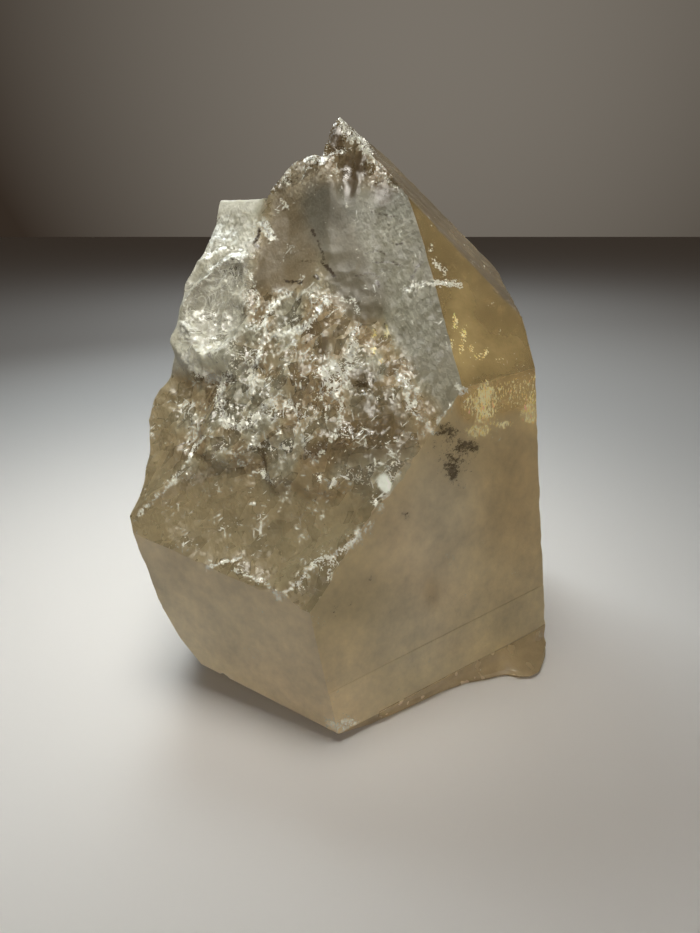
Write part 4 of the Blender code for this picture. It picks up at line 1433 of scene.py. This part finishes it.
class Nodes:
    """Short ways to add and join shader nodes."""

    def __init__(self, owner):
        owner.use_nodes = True
        self.tree = owner.node_tree

    def add(self, kind, **settings):
        node = self.tree.nodes.new(kind)
        for name, value in settings.items():
            setattr(node, name, value)
        return node

    def put(self, socket, value):
        if isinstance(value, bpy.types.NodeSocket):
            self.tree.links.new(value, socket)
        else:
            socket.default_value = value

    def attribute(self, name):
        return self.add("ShaderNodeAttribute", attribute_name=name).outputs

    def math(self, operation, a, b=0.0, c=0.0, clamp=False):
        node = self.add("ShaderNodeMath", operation=operation, use_clamp=clamp)
        for socket, value in zip(node.inputs, (a, b, c)):
            self.put(socket, value)
        return node.outputs[0]

    def plus(self, a, b, clamp=False):
        return self.math("ADD", a, b, clamp=clamp)

    def minus(self, a, b):
        return self.math("SUBTRACT", a, b)

    def times(self, a, b, clamp=False):
        return self.math("MULTIPLY", a, b, clamp=clamp)

    def times_plus(self, a, b, c):
        return self.math("MULTIPLY_ADD", a, b, c)

    def larger(self, a, b, clamp=False):
        return self.math("MAXIMUM", a, b, clamp=clamp)

    def vector_math(self, operation, a, b):
        node = self.add("ShaderNodeVectorMath", operation=operation)
        self.put(node.inputs[0], a)
        self.put(node.inputs[1], b)
        return node.outputs["Value"] if operation == "DOT_PRODUCT" else node.outputs["Vector"]

    def stretched(self, vector, scales):
        return self.vector_math("MULTIPLY", vector, scales)

    def ramp(self, value, low, high, shape="SMOOTHSTEP"):
        node = self.add("ShaderNodeMapRange", interpolation_type=shape)
        self.put(node.inputs["Value"], value)
        node.inputs["From Min"].default_value = low
        node.inputs["From Max"].default_value = high
        return node.outputs[0]

    def noise(self, vector, scale, detail, rough):
        node = self.add("ShaderNodeTexNoise")
        self.put(node.inputs["Vector"], vector)
        node.inputs["Scale"].default_value = scale
        node.inputs["Detail"].default_value = detail
        node.inputs["Roughness"].default_value = rough
        return node.outputs["Fac"]

    def patches(self, vector, noise, edge):
        """A noise turned into patches, with how soft their edges are."""
        return self.ramp(self.noise(vector, *noise), *edge)

    def mix_colour(self, amount, a, b, blend="MIX"):
        node = self.add("ShaderNodeMix", data_type="RGBA", blend_type=blend)
        self.put(node.inputs["Factor"], amount)
        self.put(node.inputs[6], a)
        self.put(node.inputs[7], b)
        return node.outputs[2]

    def grey(self, value):
        node = self.add("ShaderNodeCombineColor")
        for socket in node.inputs[:3]:
            self.put(socket, value)
        return node.outputs[0]

    def join(self, x, y, z=0.0):
        node = self.add("ShaderNodeCombineXYZ")
        for socket, value in zip(node.inputs, (x, y, z)):
            self.put(socket, value)
        return node.outputs[0]

    def split(self, vector):
        node = self.add("ShaderNodeSeparateXYZ")
        self.put(node.inputs[0], vector)
        return node.outputs

    def mapping(self, vector, place, turn, stretch):
        """Places measured in a frame of its own place, turn and stretch."""
        node = self.add("ShaderNodeMapping", vector_type="TEXTURE")
        node.inputs["Location"].default_value = place
        node.inputs["Rotation"].default_value = turn
        node.inputs["Scale"].default_value = stretch
        self.put(node.inputs["Vector"], vector)
        return node.outputs["Vector"]


def break_plane(nodes, place):
    """Places on the break's mean plane, in metres."""
    middle = (Vector(BREAK_CENTRE) - Vector(ORIGIN)) * MM
    # The rotation's columns are the break's level, slope and outward directions.
    turn = Matrix(frame_on(BREAK_BEARING, BREAK_RISE)).transposed().to_euler()
    return nodes.mapping(place, middle, turn, (1.0, 1.0, 1.0))


def turned(nodes, plane, angle, stretch):
    """The break's own plane, turned by an angle and drawn out along the new direction."""
    return nodes.mapping(plane, (0.0, 0.0, 0.0), (0.0, 0.0, math.radians(angle)), (1.0, stretch, 1.0))


def shards(nodes, plane, angle, stretch, scale):
    """Splinters: a random number for each, and a height that tilts each its own way."""
    vector = turned(nodes, plane, angle, stretch)
    cell = nodes.add("ShaderNodeTexVoronoi", feature="F1")
    nodes.put(cell.inputs["Vector"], vector)
    cell.inputs["Scale"].default_value = scale
    split = nodes.add("ShaderNodeSeparateColor")
    nodes.put(split.inputs[0], cell.outputs["Color"])
    offset = nodes.vector_math("SUBTRACT", vector, cell.outputs["Position"])
    lean = nodes.vector_math("SUBTRACT", cell.outputs["Color"], (0.5, 0.5, 0.5))
    return split.outputs[0], nodes.vector_math("DOT_PRODUCT", offset, lean)


class Surface:
    """What the look is worked out from at each point: its place, its paint and its splinters."""

    def __init__(self, nodes):
        self.place = nodes.add("ShaderNodeTexCoord").outputs["Object"]
        self.plane = break_plane(nodes, self.place)
        tint = nodes.attribute("tint")
        self.colour = tint["Color"]
        self.frost_and_glint = tint["Alpha"]
        self.clear, self.rough, self.spark = nodes.split(nodes.attribute("feel")["Vector"])
        self.gold, self.dirt, self.crack = nodes.split(nodes.attribute("flaws")["Vector"])
        self.fan = nodes.attribute("fan")["Fac"]
        self.crush = nodes.times(self.spark, self.spark)
        self.cloudy = nodes.patches(self.place, CLOUDY, CLOUDY_EDGE)
        self.fine_chance, self.fine_tilt = shards(nodes, self.plane, *FINE_SHARDS)
        self.big_chance, self.big_tilt = shards(nodes, self.plane, *BIG_SHARDS)


def shell_fibres(nodes, plane):
    """Fine curved fibres of the pale shell: rings about its middle, crossed by rays."""
    (centre_s, centre_t), _ = SHELL
    centre = (centre_s * MM, centre_t * MM, 0.0)
    across, up, _ = nodes.split(nodes.vector_math("SUBTRACT", plane, centre))
    half = FIBRE_WANDER / 2
    across = nodes.times_plus(nodes.noise(plane, *FIBRE_ACROSS), FIBRE_WANDER, nodes.minus(across, half))
    up = nodes.times_plus(nodes.noise(plane, *FIBRE_UP), FIBRE_WANDER, nodes.minus(up, half))
    angle = nodes.math("ARCTAN2", up, across)
    squares = nodes.plus(nodes.math("POWER", across, 2.0), nodes.math("POWER", up, 2.0))
    radius = nodes.math("SQRT", squares)
    fibres = 0.0
    for turns, steps, edge in (FIBRE_RINGS, FIBRE_RAYS):
        grid = nodes.join(nodes.times(angle, turns), nodes.times(radius, steps))
        fibres = nodes.larger(fibres, nodes.patches(grid, FIBRE_NOISE, edge))
    return fibres


def white_flaws_and_glints(nodes, at):
    """Where the stone is white, white bruising together with painted glints: near the painted runs, in
    threads where crushed, on the shell.
    """
    grit = nodes.patches(at.plane, GRIT, GRIT_EDGE)
    doubt = nodes.times_plus(at.fine_chance, SPLINTER_DOUBT, nodes.times(grit, GRIT_DOUBT))
    bruise = nodes.ramp(nodes.minus(nodes.times(at.frost_and_glint, FROST_REACH), doubt), *BRUISE_EDGE)
    room = nodes.times_plus(at.spark, *THREAD_ROOM)
    room = nodes.times_plus(nodes.noise(at.plane, *THREAD_PATCHES), THREAD_PATCHINESS, room)
    threads = 0.0
    for angle, scale, stretch in THREADS:
        noise = nodes.noise(turned(nodes, at.plane, angle, stretch), scale, *THREAD_GRAIN)
        threads = nodes.larger(threads, noise)
    threads = nodes.ramp(nodes.plus(threads, room), *THREAD_EDGE)
    fibres = nodes.times(nodes.times(shell_fibres(nodes, at.plane), at.fan), FIBRE_STRENGTH)
    return nodes.larger(nodes.larger(bruise, threads, clamp=True), fibres)


def black_flaws(nodes, at):
    """Dirt in smudges, and cracks that are beaded along their length."""
    smudge = nodes.noise(nodes.stretched(at.place, SMUDGE_STRETCH), *SMUDGE)
    stain = nodes.ramp(nodes.times_plus(at.dirt, DIRT_REACH, smudge), *STAIN_EDGE)
    beads = nodes.times_plus(nodes.noise(at.plane, *BEADS), 2 * BEADING, nodes.minus(at.crack, BEADING))
    return nodes.larger(nodes.times(stain, STAIN_DEPTH), nodes.ramp(beads, *CRACK_EDGE), clamp=True)


def golden_reflections(nodes, at):
    """How much painted reflection of a rainbow-edged fracture shows, and its colours."""
    place = nodes.stretched(at.place, FRACTURE_STRETCH)
    hue = nodes.add("ShaderNodeValToRGB")
    for position, shown in RAINBOW:
        stop = hue.color_ramp.elements.new(position)
        stop.color = (*shown, 1.0)
    nodes.put(hue.inputs["Fac"], nodes.noise(place, *RAINBOW_NOISE))
    fleck = nodes.patches(place, FLECK, FLECK_EDGE)
    shine = nodes.ramp(nodes.minus(nodes.times(at.gold, GOLD_REACH), fleck), *SHINE_EDGE)
    return shine, hue.outputs["Color"]


def stone_colour(nodes, at):
    """The paint, made cloudy and mottled, with splinters painted lighter or darker one by one where
    crushed, as painted light on their facets.
    """
    shade = nodes.times_plus(at.cloudy, *CLOUDY_SHADE)
    facet_light = nodes.times(nodes.minus(at.big_chance, 0.5), nodes.times(at.crush, SPLINTER_PAINTED_LIGHT))
    mottle = nodes.times_plus(nodes.noise(at.place, *STONE_MOTTLE), *MOTTLE_SHADE)
    shade = nodes.plus(nodes.plus(shade, facet_light), mottle)
    return nodes.mix_colour(1.0, at.colour, nodes.grey(shade), "MULTIPLY")


def flawed_colour(nodes, at, white, black, shine, rainbow):
    """The stone with the painted gold reflection, then white bruises and painted glints, then dirt and
    cracks over it.
    """
    colour = nodes.mix_colour(shine, stone_colour(nodes, at), rainbow)
    # White bruises and painted glints: a splinter's own chance picks frosty or bright white.
    pale = nodes.mix_colour(at.fine_chance, (*FROSTY, 1.0), (*WHITE, 1.0))
    colour = nodes.mix_colour(white, colour, pale)
    haze = nodes.times(at.dirt, nodes.times_plus(at.cloudy, *HAZE))
    colour = nodes.mix_colour(haze, colour, (*SOOT, 1.0))
    return nodes.mix_colour(black, colour, (*DARK, 1.0))


def stone_roughness(nodes, at, white, black):
    """The painted roughness: uneven on splinters, with white and black flaws a little glossier."""
    grain = nodes.times_plus(nodes.noise(at.place, *ROUGH_GRAIN), *ROUGH_SHARE)
    uneven = nodes.times(nodes.minus(at.big_chance, GLOSSY_SHARE), nodes.times(at.spark, SPLINTER_GLOSS))
    uneven = nodes.times_plus(black, -BLACK_GLOSS, uneven)
    uneven = nodes.times_plus(white, -WHITE_GLOSS, uneven)
    return nodes.plus(nodes.plus(at.rough, grain), uneven, clamp=True)


def stone_height(nodes, at):
    """Heights in metres: splinters where crushed or bruised, a skin of fine grain everywhere."""
    tilt = nodes.times_plus(at.fine_tilt, FINE_TILT, nodes.times(at.big_tilt, BIG_TILT))
    loose = nodes.times_plus(at.frost_and_glint, LOOSE_WHERE_WHITE, nodes.plus(at.crush, LOOSE_EVERYWHERE))
    return nodes.times_plus(nodes.noise(at.place, *SKIN), SKIN_HEIGHT, nodes.times(tilt, loose))


def quartz_material():
    material = bpy.data.materials.new("smoky_quartz")
    nodes = Nodes(material)
    shader = nodes.tree.nodes["Principled BSDF"]
    at = Surface(nodes)
    white = white_flaws_and_glints(nodes, at)
    black = black_flaws(nodes, at)
    shine, rainbow = golden_reflections(nodes, at)
    colour = flawed_colour(nodes, at, white, black, shine, rainbow)
    nodes.put(shader.inputs["Base Color"], colour)
    # Flaws close the stone; everywhere else it lets light through as the paint says.
    solid = nodes.larger(nodes.larger(white, black), shine)
    clear = nodes.times(at.clear, nodes.times_plus(solid, -FLAW_CLOSES, 1.0), clamp=True)
    nodes.put(shader.inputs["Transmission Weight"], clear)
    nodes.put(shader.inputs["Roughness"], stone_roughness(nodes, at, white, black))
    shader.inputs["IOR"].default_value = QUARTZ_IOR
    bump = nodes.add("ShaderNodeBump")
    bump.inputs["Strength"].default_value = 1.0
    bump.inputs["Distance"].default_value = 1.0
    nodes.put(bump.inputs["Height"], stone_height(nodes, at))
    nodes.put(shader.inputs["Normal"], bump.outputs["Normal"])
    absorb = nodes.add("ShaderNodeVolumeAbsorption")
    absorb.inputs["Color"].default_value = SMOKE_TINT
    absorb.inputs["Density"].default_value = SMOKE_DENSITY
    nodes.put(nodes.tree.nodes["Material Output"].inputs["Volume"], absorb.outputs["Volume"])
    return material


# --- surroundings ---


def make_camera():
    data = bpy.data.cameras.new("camera")
    data.sensor_width = SENSOR
    data.sensor_fit = "AUTO"
    data.lens = FOCAL_PIXELS / IMAGE_HEIGHT * SENSOR
    data.clip_start = CAMERA_NEAR_METRES
    camera = placed("camera", data)
    camera.location = (Vector(CAMERA_PLACE) - Vector(ORIGIN)) * MM
    camera.rotation_euler = (math.radians(90.0 - CAMERA_PITCH), 0.0, 0.0)
    bpy.context.scene.camera = camera


def make_floor():
    mesh = bpy.data.meshes.new("floor")
    half = FLOOR_HALF_METRES
    back = FLOOR_BACK_METRES
    corners = [(-half, -half, 0.0), (half, -half, 0.0), (half, back, 0.0), (-half, back, 0.0)]
    mesh.from_pydata(corners, [], [(0, 1, 2, 3)])
    floor = placed("floor", mesh)
    material = bpy.data.materials.new("pale_floor")
    material.use_nodes = True
    shader = material.node_tree.nodes["Principled BSDF"]
    shader.inputs["Base Color"].default_value = FLOOR_GREY
    shader.inputs["Roughness"].default_value = FLOOR_ROUGHNESS
    mesh.materials.append(material)


def area_light(name, place, target, size, power, colour, spread):
    data = bpy.data.lights.new(name, "AREA")
    data.shape = "RECTANGLE"
    data.size, data.size_y = size
    data.energy = power
    data.color = colour
    data.spread = math.radians(spread)
    light = placed(name, data)
    light.location = place
    aim = Vector(target) - Vector(place)
    light.rotation_euler = aim.to_track_quat("-Z", "Y").to_euler()


def make_world():
    """A dim warm surround, brightest high up behind the crystal, for a soft plain backdrop."""
    world = bpy.data.worlds.new("studio")
    bpy.context.scene.world = world
    nodes = Nodes(world)
    background = world.node_tree.nodes["Background"]
    direction = nodes.add("ShaderNodeTexCoord").outputs["Generated"]
    glow = nodes.vector_math("DOT_PRODUCT", direction, Vector(BACKDROP_GLOW).normalized())
    share = nodes.ramp(glow, BACKDROP_EDGE, 1.0, "LINEAR")
    nodes.put(background.inputs["Color"], nodes.mix_colour(share, BACKDROP_DIM, BACKDROP_BRIGHT))
    background.inputs["Strength"].default_value = 1.0


def make_light():
    make_world()
    for light in LIGHTS:
        area_light(*light)
    bpy.context.scene.view_settings.view_transform = "Standard"


def main():
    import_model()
    make_camera()
    make_light()
    make_floor()
    crystal = build_crystal()
    finish_mesh(crystal)
    kinds = [material.name.removeprefix(KIND_MARK) for material in crystal.data.materials]
    paint_crystal(crystal, kinds)
    crystal.data.materials.clear()
    crystal.data.materials.append(quartz_material())
    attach(crystal, "root")
    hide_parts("crystal")


main()
